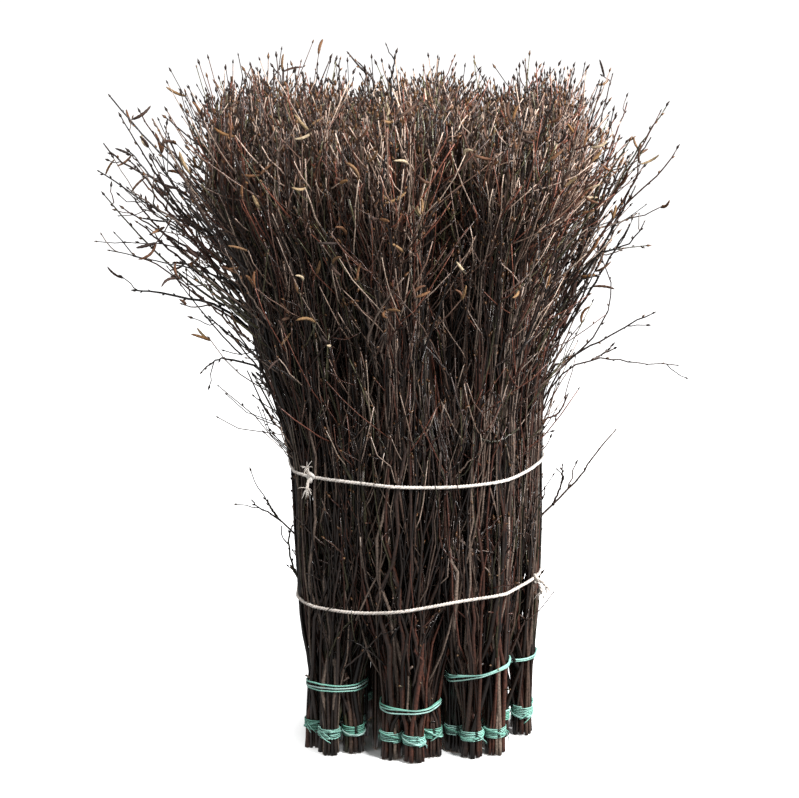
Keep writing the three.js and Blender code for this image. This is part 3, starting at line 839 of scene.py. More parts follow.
# Twigs that lie on the front of the pack, by left-right and height
FRONT_TWIGS = {
    "front_left": [
        [(-76, 175), (-62, 209), (-52, 230), (-41, 260), (-37, 280)],
        [(-109, 125), (-97, 155), (-79, 177)],
        [(-91, 112), (-70, 133), (-48, 159), (-33, 183)],
    ],
    "front": [
        [(-6, 209), (2, 270), (9, 320), (15, 339)],
        [(-9, 96), (-2, 133), (2, 151), (12, 177)],
        [(-13, 110), (-19, 157), (-30, 196)],
        [(46, 274), (60, 260), (83, 228)],
    ],
    "front_right": [
        [(44, 248), (29, 260), (22, 276), (21, 316), (23, 339)],
        [(69, 278), (76, 284), (86, 288), (96, 287)],
        [(41, 203), (18, 186), (8, 170)],
        [(68, 395), (86, 390), (104, 395), (114, 399)],
    ],
}

# Twigs that lean out of the crown at the sides: how many, which way they face, the heights that they
# leave at, how long they are, and how far they lean
FLANK_TWIGS = {
    "front_left": (19, math.radians(200), (0.47, 0.66), (0.09, 0.17), (0.45, 0.95)),
    "back_left": (17, math.radians(172), (0.46, 0.65), (0.09, 0.17), (0.5, 1.0)),
    "right": (32, math.radians(2), (0.42, 0.64), (0.09, 0.17), (0.15, 0.6)),
    "front_right": (12, math.radians(-30), (0.45, 0.66), (0.07, 0.14), (0.2, 0.6)),
    "back_right": (20, math.radians(40), (0.42, 0.66), (0.08, 0.16), (0.25, 0.6)),
    "back": (10, math.radians(100), (0.45, 0.66), (0.06, 0.10), (0.2, 0.45)),
}
FLANK_TURN_SPREAD = 0.35
FLANK_ROOTS = (0.75, 0.98)
FLANK_CURVE = 0.9
FLANK_CURL = (-0.12, 0.2)

# Slender side twigs that lie crosswise on the outside of the pack
LOOSE_TWIGS = 26
LOOSE_TURN = 0.5
LOOSE_HEIGHTS = (0.11, 0.56)
LOOSE_LENGTHS = (0.035, 0.14)
LOOSE_LEANS = (0.1, 0.8)
LOOSE_CURVE = 1.3
LOOSE_ROOTS = (0.86, 0.92)
LOOSE_TIPS = (0.96, 1.05)
LOOSE_RADIUS_MM = (1.4, 0.8)


def smooth_line(points, steps):
    """A smooth line through given points, in even steps."""
    points = np.asarray(points, float)
    line = np.concatenate([2 * points[:1] - points[1:2], points, 2 * points[-1:] - points[-2:-1]])
    at = np.linspace(0, len(points) - LAST_POINT_GAP, steps)
    low = np.floor(at).astype(int)
    t = (at - low)[:, None]
    a, b, c, d = (line[low + i] for i in range(4))
    return (2 * b + (c - a) * t + (2 * a - 5 * b + 4 * c - d) * t ** 2 + (3 * b - a - 3 * c + d) * t ** 3) / 2


def on_front(points):
    """Places on the front of the pack, from left-right and height."""
    x, z = np.array(points).T * MM
    angle = np.full(len(x), -math.pi / 2)
    for _ in range(8):
        reach = from_table(outline, angle, z)
        angle = -np.arccos(np.clip(x / reach, -1, 1))
    return np.stack([x, reach * np.sin(angle), z], axis=-1)


def lay_strays(bundle):
    """The listed twigs of one bundle, each on one smooth line."""
    lines = []
    for route in STRAYS.get(bundle["side"], []):
        points = np.array(route) * MM
        share = share_of(bundle, points[:1])
        share *= STRAY_ROOT_SHARE / np.maximum(size_of(share), STRAY_ROOT_SHARE)
        root = place(bundle, share, points[:1, 2] - STRAY_ROOT_DROP)
        lines.append(smooth_line(np.concatenate([root, points]), STRAY_STEPS))
    for route in FORKS.get(bundle["side"], []):
        lines.append(smooth_line(np.array(route) * MM, STRAY_STEPS))
    for route in FRONT_TWIGS.get(bundle["side"], []):
        lines.append(smooth_line(on_front(route), STRAY_STEPS))
    return np.array(lines).reshape(-1, STRAY_STEPS, 3)


def grow_flank(bundle, rng):
    """Twigs that lean out of the crown at the sides."""
    if bundle["side"] not in FLANK_TWIGS:
        return np.zeros((0, STRAY_STEPS, 3))
    count, facing, heights, lengths, leans = FLANK_TWIGS[bundle["side"]]
    turn = facing + rng.normal(0, FLANK_TURN_SPREAD, count)
    share = heading(turn) * rng.uniform(*FLANK_ROOTS, (count, 1))
    start = place(bundle, share, rng.uniform(*heights, count))
    lean = rng.uniform(*leans, count)[:, None]
    way = np.linspace(0, 1, STRAY_STEPS)
    length = rng.uniform(*lengths, count)[:, None]
    out = length * np.sin(lean) * way ** FLANK_CURVE
    up = length * (np.cos(lean) * way + rng.uniform(*FLANK_CURL, (count, 1)) * way ** 2)
    away = angle_of(start)
    direction = np.where(np.abs(away - turn) > math.pi, turn, away * 0.5 + turn * 0.5)
    step = np.concatenate([heading(direction)[:, None] * out[..., None], up[..., None]], axis=-1)
    return start[:, None] + step


def grow_loose(bundle, rng, count):
    """Slender side twigs that lie crosswise on the outside of the pack."""
    turn = angle_of(bundle["middle"]) + rng.uniform(-LOOSE_TURN, LOOSE_TURN, count)
    height = rng.uniform(*LOOSE_HEIGHTS, count)
    length = rng.uniform(*LOOSE_LENGTHS, count)
    lean = rng.uniform(*LOOSE_LEANS, count) * rng.choice([-1, 1], count)
    way = np.linspace(0, 1, STRAY_STEPS)
    z = height[:, None] + (length * np.cos(lean))[:, None] * way
    aside = (length * np.sin(lean))[:, None] * way ** LOOSE_CURVE
    angle = turn[:, None] + aside / from_table(outline, turn, height)[:, None]
    part = rng.uniform(*LOOSE_ROOTS, (count, 1)) * (1 - way) + rng.uniform(*LOOSE_TIPS, (count, 1)) * way
    reach = from_table(outline, angle, z) * part
    return np.concatenate([heading(angle) * reach[..., None], z[..., None]], axis=-1)


def add_strays(pile, bundle, rng):
    """Every stray of one bundle, crooked at its buds, with side shoots and a bud at each tip."""
    if bundle["side"] == "centre":
        return np.zeros((0, SHOOT_STEPS, 3))
    tips = []
    families = (
        (lay_strays(bundle), STRAY_RADIUS_MM, 6),
        (grow_flank(bundle, rng), STRAY_RADIUS_MM, 5),
        (grow_loose(bundle, rng, LOOSE_TWIGS), LOOSE_RADIUS_MM, 2),
    )
    for path, ends, buds_each in families:
        if not len(path):
            continue
        bend = rng.uniform(*STRAY_BEND_MM, path.shape[:2]) * MM * alternate(STRAY_STEPS)
        facing = unit(rng.normal(0, 1, (len(path), 3)))
        path = within_box(path + facing[:, None] * bend[..., None], TIP_MARGIN)
        radius = np.linspace(*ends, STRAY_STEPS) * MM * rng.uniform(0.85, 1.2, (len(path), 1))
        add_tubes(pile, path, radius, 4, rng.integers(0, DARK_BARK_TONES, len(path)), age_and_light_of(path, 0.0))
        shoots, shoot_radius = grow_shoots(bundle, rng, path, radius, 1, 0.45, STRAY_SHOOT_LENGTHS, free=True)
        tone = rng.integers(0, DARK_BARK_TONES, len(shoots))
        add_tubes(pile, shoots, shoot_radius, 3, tone, age_and_light_of(shoots, 0.05))
        add_tip_buds(pile, rng, shoots)
        add_side_buds(pile, rng, path, radius, buds_each, 0.3)
        add_tip_buds(pile, rng, path)
        tips.append(shoots)
    return np.concatenate(tips)


# The bark is young birch, dried on the twig, not peeled: dark brown and thinly waxy, greyer or olive on
# some twigs and redder towards the tips, so the eye gets narrow pale glints over near-black gaps. The tints
# up
# the map also hold painted light: they darken the bark low in the pack and lighten it towards the top of the
# crown.
BARK_TONE_COLOURS = [
    "34271f", "483730", "221a17", "6c594f", "9c8e84", "2b201a", "664034", "463b37",
    "26201e", "4d4d38", "53352a", "968a7f", "786a60",
]
BUD_COLOURS = ["392a22", "7c5a38"]
WOOD_COLOUR = "a98a63"
# Painted light as well as age: these tints darken the bark low in the pack, where the crown shades it, and
# lighten it towards the top of the crown, where the light falls.
BARK_AGE_AND_LIGHT_TINTS = [
    (0.0, "8a857e"), (0.10, "7e7873"), (0.35, "766f6b"), (0.55, "837d79"), (0.75, "bdb5b0"), (0.9, "e8ded8"),
    (1.0, "f6ebe3"),
]


def linear(code):
    """Linear colour with full alpha from an sRGB hex code."""
    parts = [int(code[i:i + 2], 16) / 255 for i in (0, 2, 4)]
    return (*[p / 12.92 if p <= 0.04045 else ((p + 0.055) / 1.055) ** 2.4 for p in parts], 1.0)


def add_node(tree, kind, inputs=None, **settings):
    """A node with its settings; an input is a value or another node's output."""
    made = tree.nodes.new(kind)
    for name, value in settings.items():
        setattr(made, name, value)
    for name, value in (inputs or {}).items():
        if isinstance(value, bpy.types.NodeSocket):
            tree.links.new(value, made.inputs[name])
        else:
            made.inputs[name].default_value = value
    return made


def set_ramp(ramp_node, stops, interpolation="LINEAR"):
    """A colour ramp with exactly these stops."""
    ramp = ramp_node.color_ramp
    ramp.interpolation = interpolation
    while len(ramp.elements) > 1:
        ramp.elements.remove(ramp.elements[-1])
    for number, (position, code) in enumerate(stops):
        stop = ramp.elements[0] if number == 0 else ramp.elements.new(position)
        stop.position = position
        stop.color = linear(code)


def new_material(name, roughness, ior):
    """A material with its node tree and its shader."""
    material = bpy.data.materials.new(name)
    material.use_nodes = True
    tree = material.node_tree
    shader = tree.nodes["Principled BSDF"]
    shader.inputs["Roughness"].default_value = roughness
    shader.inputs["IOR"].default_value = ior
    return material, tree, shader


def tone_map_material(name, tones, tints, roughness, ior, grain_mm, depth_mm, mottle):
    """A finish whose colour is read across and up the map, with a grain that stands up and mottles it."""
    material, tree, shader = new_material(name, roughness, ior)
    on_map = add_node(tree, "ShaderNodeUVMap", uv_map="OFBake")
    split = add_node(tree, "ShaderNodeSeparateXYZ", {"Vector": on_map.outputs["UV"]})
    tone = add_node(tree, "ShaderNodeValToRGB", {"Fac": split.outputs["X"]})
    set_ramp(tone, [(i / TONES, code) for i, code in enumerate(tones)], "CONSTANT")
    tint = add_node(tree, "ShaderNodeValToRGB", {"Fac": split.outputs["Y"]})
    set_ramp(tint, tints)
    tinted = add_node(tree, "ShaderNodeMix", data_type="RGBA", blend_type="MULTIPLY")
    tinted.inputs["Factor"].default_value = 1.0
    tree.links.new(tone.outputs["Color"], tinted.inputs[6])
    tree.links.new(tint.outputs["Color"], tinted.inputs[7])
    in_space = add_node(tree, "ShaderNodeTexCoord")
    grain = add_node(tree, "ShaderNodeTexNoise", {
        "Vector": in_space.outputs["Object"], "Scale": 1 / (grain_mm * MM), "Detail": 3.0, "Roughness": 0.6,
    })
    strength = add_node(tree, "ShaderNodeMapRange", {
        "Value": grain.outputs["Fac"], "From Min": 0.3, "From Max": 0.7,
        "To Min": mottle[0], "To Max": mottle[1],
    })
    colour = add_node(tree, "ShaderNodeVectorMath", {
        0: tinted.outputs[2], "Scale": strength.outputs["Result"],
    }, operation="SCALE")
    bump = add_node(tree, "ShaderNodeBump", {
        "Height": grain.outputs["Fac"], "Strength": 0.6, "Distance": depth_mm * MM,
    })
    tree.links.new(colour.outputs["Vector"], shader.inputs["Base Color"])
    tree.links.new(bump.outputs["Normal"], shader.inputs["Normal"])
    return material


# The bark's pores are under half a millimetre wide, too fine to show, so its grain is drawn coarser
birch_bark = tone_map_material(
    "young_birch_bark_dried", BARK_TONE_COLOURS + BUD_COLOURS + [WOOD_COLOUR], BARK_AGE_AND_LIGHT_TINTS,
    roughness=0.33, ior=1.5, grain_mm=2.4, depth_mm=0.3, mottle=(0.8, 3.2))
for number, bundle in enumerate(bundles):
    rng = np.random.default_rng(100 + number)
    pile, tips = grow_bundle(bundle, rng)
    bundle["tips"] = np.concatenate([tips, add_strays(pile, bundle, rng)])
    twigs = make_piece(f"twigs_{bundle['side']}", pile, birch_bark)
    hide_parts(f"bundle_{bundle['side']}")


# Catkins
# The male catkins of birch, formed in autumn and dried on the twig: short scaly spindles that sit singly
# or in pairs near the ends of the shoots, ochre where the scales are open and dark brown where closed.
CATKINS = {
    "front_left": 48, "front": 26, "front_right": 22, "right": 24,
    "back_right": 14, "back": 16, "back_left": 34,
}
CATKIN_LENGTH_MM = (17, 29)
CATKIN_WIDTH_MM = (2.8, 3.9)
CATKIN_OUTLINE = [0.30, 0.72, 0.92, 0.98, 1.0, 1.0, 0.98, 0.95, 0.86, 0.66, 0.22]
CATKIN_STEPS = len(CATKIN_OUTLINE)
CATKIN_BOW = (0.04, 0.20)
CATKIN_LOWEST = 0.50
CATKIN_LEAST_REACH = 0.7
CATKIN_SUNK = 1.5 * MM
PAIRS = 0.35
SCALE_STEP = 0.10

# Catkins that show singly on the front of the crown: foot and tip by left-right and height
FRONT_CATKINS = {
    "front_left": [((-222, 600), (-200, 606)), ((-228, 603), (-206, 596))],
    "front": [
        ((-42, 681), (-20, 692)), ((-5, 712), (11, 702)), ((-10, 572), (6, 585)),
        ((-8, 570), (9, 577)), ((-32, 650), (-22, 670)),
    ],
    "front_right": [((140, 566), (146, 584))],
}
CATKIN_COLOURS = [
    "6c4a30", "7f5a34", "523624", "2c1e18", "937c5c", "70492c", "452e22", "5c402c",
    "765234", "382319", "b8a588", "64422c", "523a2a", "745638", "3e2a1f", "8a6a46",
]


def add_catkins(pile, rng, foot, direction):
    """Slightly bowed spindles with a stepped outline of scales."""
    count = len(foot)
    length = rng.uniform(*CATKIN_LENGTH_MM, count) * MM
    width = rng.uniform(*CATKIN_WIDTH_MM, count) * MM
    way = np.linspace(0, 1, CATKIN_STEPS)
    bow = unit(np.cross(direction, rng.normal(0, 1, (count, 3))))
    bow = bow * (length * rng.uniform(*CATKIN_BOW, count))[:, None]
    path = foot[:, None] + direction[:, None] * (length[:, None] * way)[..., None]
    path = within_box(path + bow[:, None] * (4 * way * (1 - way))[:, None], 2 * TIP_MARGIN)
    scales = 1 + SCALE_STEP * alternate(CATKIN_STEPS)
    radius = width[:, None] / 2 * np.array(CATKIN_OUTLINE) * scales
    up_the_map = np.clip(way + rng.uniform(-0.1, 0.1, (count, 1)), LOW_AGE, HIGH_AGE)
    add_tubes(pile, path, radius, 6, rng.integers(0, TONES, count), up_the_map)


# Dry papery scales are matt, so a catkin has no glint and shows as light and dark rows of its scales,
# which are about 1.6 mm wide
catkin_scales = tone_map_material(
    "dry_birch_catkin_scales", CATKIN_COLOURS, [(0.0, "8c8c8c"), (0.5, "bcbcbc"), (1.0, "a8a8a8")],
    roughness=0.75, ior=1.45, grain_mm=1.6, depth_mm=0.6, mottle=(1.0, 3.0))
for number, bundle in enumerate(bundles):
    side = bundle["side"]
    if side not in CATKINS:
        continue
    rng = np.random.default_rng(300 + number)
    before, ends = bundle["tips"][:, -2], bundle["tips"][:, -1]
    reach = np.hypot(ends[:, 0], ends[:, 1]) / from_table(outline, angle_of(ends), ends[:, 2])
    weight = np.clip(reach - CATKIN_LEAST_REACH, 0.01, 0.5) ** 2
    weight = np.where(ends[:, 2] > CATKIN_LOWEST, weight, 0)
    chosen = rng.choice(len(ends), CATKINS[side], replace=False, p=weight / weight.sum())
    second = chosen[rng.uniform(0, 1, len(chosen)) < PAIRS]
    chosen = np.concatenate([chosen, second])
    along = unit(ends[chosen] - before[chosen])
    direction = unit(along * 0.8 + rng.normal(0, 0.55, along.shape))
    foot = ends[chosen] - along * CATKIN_SUNK
    pile = new_pile()
    add_catkins(pile, rng, foot, direction)
    if side in FRONT_CATKINS:
        feet, heads = (on_front(points) for points in zip(*FRONT_CATKINS[side]))
        add_catkins(pile, rng, feet, unit(heads - feet))
    catkins = make_piece(f"catkins_{side}", pile, catkin_scales)


# Twine round the small bunches
# Thin turquoise polypropylene twine, twisted from split film. Each bunch is bound just above its cut ends
# with six close turns and two crossing ones, and two short ends hang loose.
TWINE_RADIUS = 0.80 * MM
TURN_STEPS = 16
WRAP_TURNS = 6
WRAP_PITCH = 2.1 * MM
CROSS_TURNS = 2
CROSS_TILT = 5.5 * MM
CROSS_LIFT = 2.6 * TWINE_RADIUS
LOOSE_ENDS = 2
END_STEPS = 6
END_RADIUS = 0.7 * TWINE_RADIUS
END_LIFT = 3.4 * TWINE_RADIUS
END_DROPS = (0.008, 0.018)
TWINE_COLOURS = [
    "a6e0cf", "b4e6d8", "92d6c2", "c2eee2", "9edcca", "86ccb6", "ccf2e8", "a8e2d2",
    "98dac8", "b8e8dc", "8cd0bc", "a2dece", "aee4d6", "82c8b2", "bceadf", "9adacb",
]


def around(line, angle):
    """Distances that were found for even turns, read at any angle."""
    return np.interp(angle, ANGLES, line, period=2 * math.pi)


def add_strand(pile, rng, path, radius, sides):
    """One strand of cord or twine, as one tube along its path."""
    steps = len(path)
    up_the_map = np.clip(0.5 + 0.35 * np.sin(np.arange(steps) * 0.21 + rng.uniform(0, 6)), LOW_AGE, HIGH_AGE)
    radii = np.broadcast_to(radius, (1, steps))
    add_tubes(pile, path[None], radii, sides, rng.integers(0, TONES, 1), up_the_map[None])


def ring_path(centre, line, angle, height, lift):
    """A path round a measured line, lifted off it, at these angles and heights."""
    flat = centre + heading(angle) * (around(line, angle) + lift)[:, None]
    return np.concatenate([flat, height[:, None]], axis=-1)


def bind_bunch(rng, centre, line, low, high):
    """The turns of twine round one bunch, and its two loose ends."""
    pile = new_pile()
    level = (low + high) / 2
    begin = rng.uniform(0, 2 * math.pi)
    angle = begin + 2 * math.pi * np.arange(WRAP_TURNS * TURN_STEPS + 1) / TURN_STEPS
    turns = (angle - begin) / (2 * math.pi)
    bottom = level - WRAP_TURNS * WRAP_PITCH / 2 + rng.uniform(-1, 1) * MM
    wobble = rng.normal(0, 0.15 * MM, len(angle)) + 0.6 * MM * np.sin(angle + begin)
    path = ring_path(centre, line, angle, bottom + turns * WRAP_PITCH + wobble, TWINE_RADIUS)
    add_strand(pile, rng, path, TWINE_RADIUS, 4)
    cross = begin + rng.uniform(1, 3) + 2 * math.pi * np.arange(CROSS_TURNS * TURN_STEPS + 1) / TURN_STEPS
    tilt = CROSS_TILT * rng.uniform(0.7, 1.2) * np.cos(cross - begin + rng.uniform(0, 6))
    height = level + tilt + np.linspace(-1, 1, len(cross)) * MM
    add_strand(pile, rng, ring_path(centre, line, cross, height, CROSS_LIFT), TWINE_RADIUS, 4)
    away = angle_of(centre) + rng.normal(0, 0.5)
    onward = rng.choice([-1, 1])
    part = np.linspace(0, 1, END_STEPS)
    for _ in range(LOOSE_ENDS):
        angle = away + rng.uniform(-0.4, 0.4) + onward * part * rng.uniform(0.5, 1.2)
        height = level + rng.normal(0, 2 * MM) - part * rng.uniform(*END_DROPS)
        lift = END_LIFT + part * rng.uniform(0, 4) * MM
        path = ring_path(centre, line, angle, np.maximum(height, 2 * MM), lift)
        add_strand(pile, rng, path, END_RADIUS, 4)
    return pile


# Split film is smooth and waxy, so the turns of the twine have soft glints. Its fibres are a tenth of a
# millimetre wide, too fine to show, so they are drawn coarser.
turquoise_twine = tone_map_material(
    "split_film_polypropylene_twine", TWINE_COLOURS, [(0.0, "767676"), (0.5, "9e9e9e"), (1.0, "acacac")],
    roughness=0.42, ior=1.49, grain_mm=0.9, depth_mm=0.25, mottle=(1.5, 2.4))
for number, bundle in enumerate(bundles):
    rng = np.random.default_rng(500 + number)
    for bunch, centre in enumerate(bundle["feet"]):
        node = f"bundle_{bundle['side']}_wrap_{bunch + 1}"
        low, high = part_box(node)
        rows = slice(bunch * STEMS_PER_BUNCH, (bunch + 1) * STEMS_PER_BUNCH)
        stems = bundle["stems"][rows, 1:3, :2].mean(axis=1) - centre
        line = tight_line(stems, bundle["stem_radius"][rows, 2])
        pile = bind_bunch(rng, centre, line, low.z, high.z)
        twine = make_piece(f"twine_{bundle['side']}_{bunch + 1}", pile, turquoise_twine)
        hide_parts(node)


# Ties round the bundles of five
# The same twine holds five bunches together a hand's width above the floor: two or three slack strands
# side by side, drawn out of level by the bunches that they cross.
TIE_STRANDS = 3
TIE_STEPS = 56
TIE_GAP = 2.4 * MM
TIE_RADIUS = 1.0 * MM


def slope_of(node):
    """How far a tied ring climbs from left to right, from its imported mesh."""
    spots = np.array([v.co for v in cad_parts[node].data.vertices])
    return np.polyfit(spots[:, 0], spots[:, 2], 1)[0]


for number, bundle in enumerate(bundles):
    rng = np.random.default_rng(700 + number)
    node = f"bundle_{bundle['side']}_tie"
    rows = slice(0, BUNCHES * STEMS_PER_BUNCH)
    at_tie = bundle["stems"][rows, TIE_NODE, :2] - bundle["middle"]
    line = tight_line(at_tie, bundle["stem_radius"][rows, TIE_NODE])
    slope = slope_of(node)
    pile = new_pile()
    strands = TIE_STRANDS - rng.integers(0, 2)
    for strand in range(strands):
        angle = rng.uniform(0, 6) + 2 * math.pi * np.arange(TIE_STEPS + 1) / TIE_STEPS
        across = np.cos(angle) * around(line, angle)
        spread = 1 + 0.8 * np.cos(angle - rng.uniform(0, 6))
        height = bundle["tie"] + slope * across + (strand - (strands - 1) / 2) * TIE_GAP * spread
        height += 0.8 * MM * np.sin(3 * angle + strand)
        lift = TIE_RADIUS * (1 + 0.5 * (strand == 1))
        add_strand(pile, rng, ring_path(bundle["middle"], line, angle, height, lift), TIE_RADIUS, 5)
    tie = make_piece(f"tie_{bundle['side']}", pile, turquoise_twine)
    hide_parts(node)


# Cords round the whole pack
# Two off-white soft cotton cords, laid from three plies. Each is drawn tight round all the twigs and
# closed with an overhand knot whose short ends fray.
CORDS = {
    "lower_cord": {
        "height": 0.198, "rise": 0.0065, "lift": 0.001, "sag": 0.010, "sag_turn": math.radians(-120),
        "knot": math.radians(-14), "ends": [(0.012, -0.004, -0.010), (0.006, -0.004, -0.016)],
    },
    "upper_cord": {
        "height": 0.3485, "rise": -0.0025, "lift": -0.0055, "sag": 0.003, "sag_turn": math.radians(-80),
        "knot": math.radians(-140), "ends": [(-0.004, -0.005, 0.012), (-0.004, -0.006, -0.012)],
    },
}
SAG_WIDTH = math.radians(36)
PLIES = 3
PLY_RADIUS = 1.10 * MM
PLY_OFFSET = 1.15 * MM
PLY_TURN = 0.011
PLY_STEPS_PER_TURN = 5
KNOT_SIZE = 4.6 * MM
KNOT_RADIUS = 1.9 * MM
KNOT_TALL = 1.2
KNOT_STEPS = 48
TAIL_STEPS = 10
TAIL_BOW = 1.5 * MM
FRAY_THREADS = 16
FRAY_LENGTHS = (0.005, 0.012)
FRAY_RADII = np.linspace(0.6, 0.25, 6) * MM
FRAY_SAG = np.array([0, 0, -0.002])
CORD_COLOURS = [
    "efe9e4", "e6ded6", "f4f0ec", "dcd2c8", "ebe4dd", "f0ebe6", "e2d9d0", "eee8e2",
    "e9e1d9", "f2eee9", "dfd6cc", "ece6e0", "e4dcd3", "f1ece7", "e7dfd7", "ede7e1",
]


def cord_height(cord, angle):
    """A cord lies nearly level, but climbs to one side and hangs lower on its longest free stretch."""
    slack = np.angle(np.exp(1j * (angle - cord["sag_turn"]))) / SAG_WIDTH
    level = cord["height"] + cord["rise"] * np.cos(angle) - cord["lift"] * np.sin(angle)
    return level - cord["sag"] * np.exp(-slack ** 2)


def twist(path, phase):
    """A ply that winds round the cord's middle line."""
    along = unit(np.gradient(path, axis=0))
    side = unit(np.cross(along, [0.0, 0.0, 1.0]))
    up = np.cross(side, along)
    run = np.concatenate([[0], np.cumsum(np.linalg.norm(np.diff(path, axis=0), axis=1))])
    turn = (2 * math.pi * run / PLY_TURN + phase)[:, None]
    return path + PLY_OFFSET * (0.8 * np.cos(turn) * side + np.sin(turn) * up)


def lay_plies(pile, rng, path, radius):
    for ply in range(PLIES):
        add_strand(pile, rng, twist(path, 2 * math.pi * ply / PLIES), radius, 5)


def overhand_knot(middle, out):
    """A trefoil line, which is an overhand knot with its ends joined, facing outwards."""
    aside = np.array([-out[1], out[0], 0.0])
    t = 2 * math.pi * np.arange(KNOT_STEPS + 1) / KNOT_STEPS
    across, up, deep = np.sin(t) + 2 * np.sin(2 * t), np.cos(t) - 2 * np.cos(2 * t), -np.sin(3 * t)
    loops = np.stack([across, up, deep], axis=-1) / 3
    return middle + KNOT_SIZE * (
        loops[:, :1] * aside + loops[:, 1:2] * np.array([0, 0, KNOT_TALL]) + loops[:, 2:] * out)


# Soft cotton is quite matt, so only the shade between the plies shows on it. Its yarns are a third of a
# millimetre thick, too fine to show, so they are drawn coarser.
cotton_cord = tone_map_material(
    "soft_cotton_cord_three_ply", CORD_COLOURS, [(0.0, "949290"), (0.5, "aeacaa"), (1.0, "b4b2b0")],
    roughness=0.9, ior=1.46, grain_mm=0.8, depth_mm=0.3, mottle=(1.4, 2.3))
for number, (name, cord) in enumerate(CORDS.items()):
    rng = np.random.default_rng(900 + number)
    spots, radii = [], []
    for bundle in bundles:
        for path, radius in zip(bundle["stems"], bundle["stem_radius"]):
            level = cord["height"]
            for _ in range(2):
                x, y = (np.interp(level, path[:, 2], path[:, axis]) for axis in (0, 1))
                level = cord_height(cord, math.atan2(y, x))
            spots.append((x, y))
            radii.append(np.interp(level, path[:, 2], radius))
    line = tight_line(np.array(spots), np.array(radii))
    steps = int(2 * math.pi * line.mean() / PLY_TURN * PLY_STEPS_PER_TURN)
    angle = cord["knot"] + 2 * math.pi * np.arange(steps + 1) / steps
    pile = new_pile()
    loop = ring_path(np.zeros(2), line, angle, cord_height(cord, angle), PLY_OFFSET + PLY_RADIUS)
    lay_plies(pile, rng, loop, PLY_RADIUS)
    out = np.array([math.cos(cord["knot"]), math.sin(cord["knot"]), 0.0])
    knot = loop[0] + out * KNOT_SIZE * 0.5
    add_strand(pile, rng, overhand_knot(knot, out), KNOT_RADIUS, 7)
    for end in cord["ends"]:
        tip = knot + np.array(end)
        tail = smooth_line([knot, knot * 0.55 + tip * 0.45 + out * TAIL_BOW, tip], TAIL_STEPS)
        lay_plies(pile, rng, tail, PLY_RADIUS * 0.9)
        for _ in range(FRAY_THREADS):
            away = unit((tip - knot) * 60 + rng.normal(0, 0.7, 3)) * rng.uniform(*FRAY_LENGTHS)
            thread = smooth_line([tip - away * 0.3, tip + away * 0.5, tip + away + FRAY_SAG], len(FRAY_RADII))
            add_strand(pile, rng, thread, FRAY_RADII, 4)
    piece = make_piece(f"cotton_{name}", pile, cotton_cord)
    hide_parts(name)


# Floor, light and camera
# A wide pale floor inside a round white wall, under soft studio light, seen from a little above the pack
# as in a shop picture. The wall is there for low views, and neither it nor the floor throws light back.
FLOOR_HALF = 30.0
SHADE_RADIUS = (0.10, 0.165)
WALL_RADIUS = 29.5
WALL_HEIGHTS = (-0.01, 14.0)
WALL_STEPS = 96
STUDIO_WHITE = "ffffff"
PAINT_WHITE = "f0f0f0"
WORLD_LIGHT = 0.40


def studio_paint(name):
    """Matt white paint that glows a little, so that it stays white away from the lamps."""
    paint, tree, shader = new_material(name, 0.9, 1.45)
    shader.inputs["Base Color"].default_value = linear(PAINT_WHITE)
    shader.inputs["Emission Color"].default_value = linear(STUDIO_WHITE)
    return paint, tree, shader


def add_stage(name, points, faces, paint):
    """A part of the studio, which the camera sees but whose light the twigs don't."""
    mesh = bpy.data.meshes.new(name)
    mesh.from_pydata(points, [], faces)
    mesh.materials.append(paint)
    stage = bpy.data.objects.new(name, mesh)
    bpy.context.scene.collection.objects.link(stage)
    stage.visible_diffuse = False
    stage.visible_glossy = False
    return stage


# The floor doesn't glow under the pack, so that a soft shade shows at its feet
floor_paint, floor_tree, floor_shader = studio_paint("matt_white_studio_floor")
under = add_node(floor_tree, "ShaderNodeTexCoord")
distance = add_node(floor_tree, "ShaderNodeVectorMath", {0: under.outputs["Object"]}, operation="LENGTH")
glow = add_node(floor_tree, "ShaderNodeMapRange", {
    "Value": distance.outputs["Value"], "From Min": SHADE_RADIUS[0], "From Max": SHADE_RADIUS[1],
    "To Min": 0.0, "To Max": 0.75,
}, interpolation_type="SMOOTHSTEP")
floor_tree.links.new(glow.outputs["Result"], floor_shader.inputs["Emission Strength"])
corners = [(x * FLOOR_HALF, y * FLOOR_HALF, 0) for x, y in ((-1, -1), (1, -1), (1, 1), (-1, 1))]
add_stage("floor", corners, [(0, 1, 2, 3)], floor_paint)

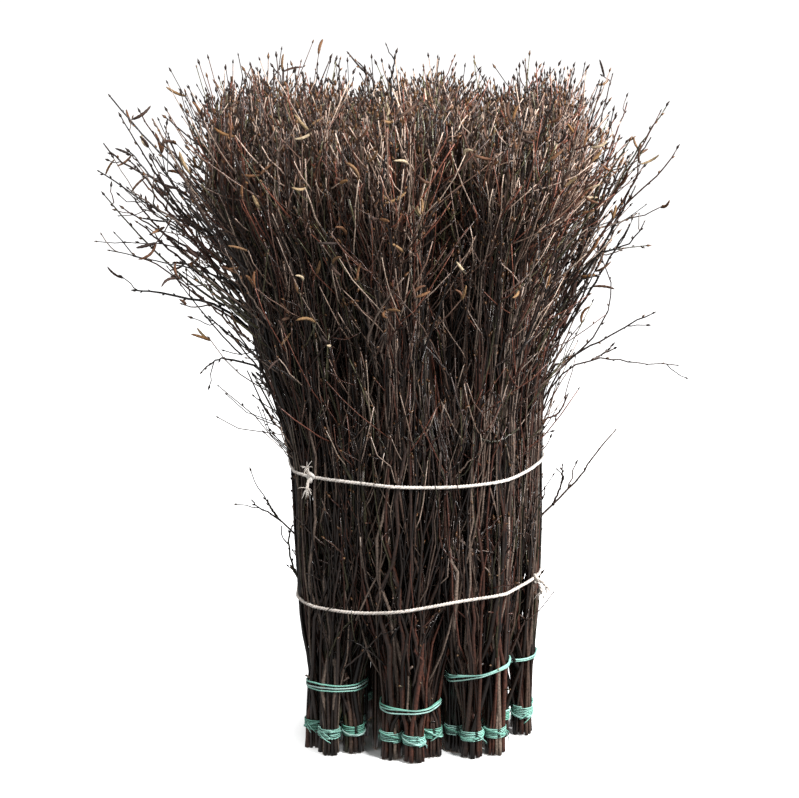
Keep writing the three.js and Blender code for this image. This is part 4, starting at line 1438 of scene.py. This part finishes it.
wall_paint, _, wall_shader = studio_paint("matt_white_studio_wall")
wall_shader.inputs["Emission Strength"].default_value = 1.0
wall_paint.cycles.emission_sampling = "NONE"
rim = heading(2 * math.pi * np.arange(WALL_STEPS) / WALL_STEPS) * WALL_RADIUS
wall_points = [(*spot, height) for height in WALL_HEIGHTS for spot in rim.tolist()]
wall_faces = [(i - 1, i, i + WALL_STEPS, i - 1 + WALL_STEPS) for i in range(1, WALL_STEPS)]
wall_faces.append((WALL_STEPS - 1, 0, WALL_STEPS, 2 * WALL_STEPS - 1))
wall = add_stage("wall", wall_points, wall_faces, wall_paint)
wall.visible_shadow = False

world = bpy.data.worlds.new("studio")
bpy.context.scene.world = world
world.use_nodes = True
sky = world.node_tree.nodes["Background"]
sky.inputs["Color"].default_value = linear(STUDIO_WHITE)
sky.inputs["Strength"].default_value = WORLD_LIGHT


def soft_light(name, place_of_light, aim, size, power):
    """A round soft lamp that faces its aim."""
    lamp = bpy.data.lights.new(name, "AREA")
    lamp.shape = "DISK"
    lamp.size = size
    lamp.energy = power
    holder = bpy.data.objects.new(name, lamp)
    holder.location = place_of_light
    holder.rotation_euler = (Vector(aim) - Vector(place_of_light)).to_track_quat("-Z", "Y").to_euler()
    bpy.context.scene.collection.objects.link(holder)


soft_light("key_light", (1.4, -1.7, 2.9), (0, 0, 0.45), 0.7, 165)
soft_light("side_light", (2.6, -0.7, 1.1), (0, 0, 0.35), 0.6, 105)
soft_light("fill_light", (-2.2, -1.8, 1.8), (0, 0, 0.4), 1.4, 20)
bpy.context.scene.view_settings.view_transform = "Standard"

CAMERA_AIM = Vector((-0.025, 0.0, 0.417))
CAMERA_DISTANCE = 3.2
CAMERA_ELEVATION = math.radians(12)
VIEW_WIDTH = 0.959
SENSOR_MM = 36
camera_data = bpy.data.cameras.new("camera")
camera_data.sensor_width = SENSOR_MM
camera_data.lens = SENSOR_MM * CAMERA_DISTANCE / VIEW_WIDTH
camera = bpy.data.objects.new("camera", camera_data)
back = Vector((0, -math.cos(CAMERA_ELEVATION), math.sin(CAMERA_ELEVATION)))
camera.location = CAMERA_AIM + back * CAMERA_DISTANCE
camera.rotation_euler = (-back).to_track_quat("-Z", "Y").to_euler()
bpy.context.scene.collection.objects.link(camera)
bpy.context.scene.camera = camera
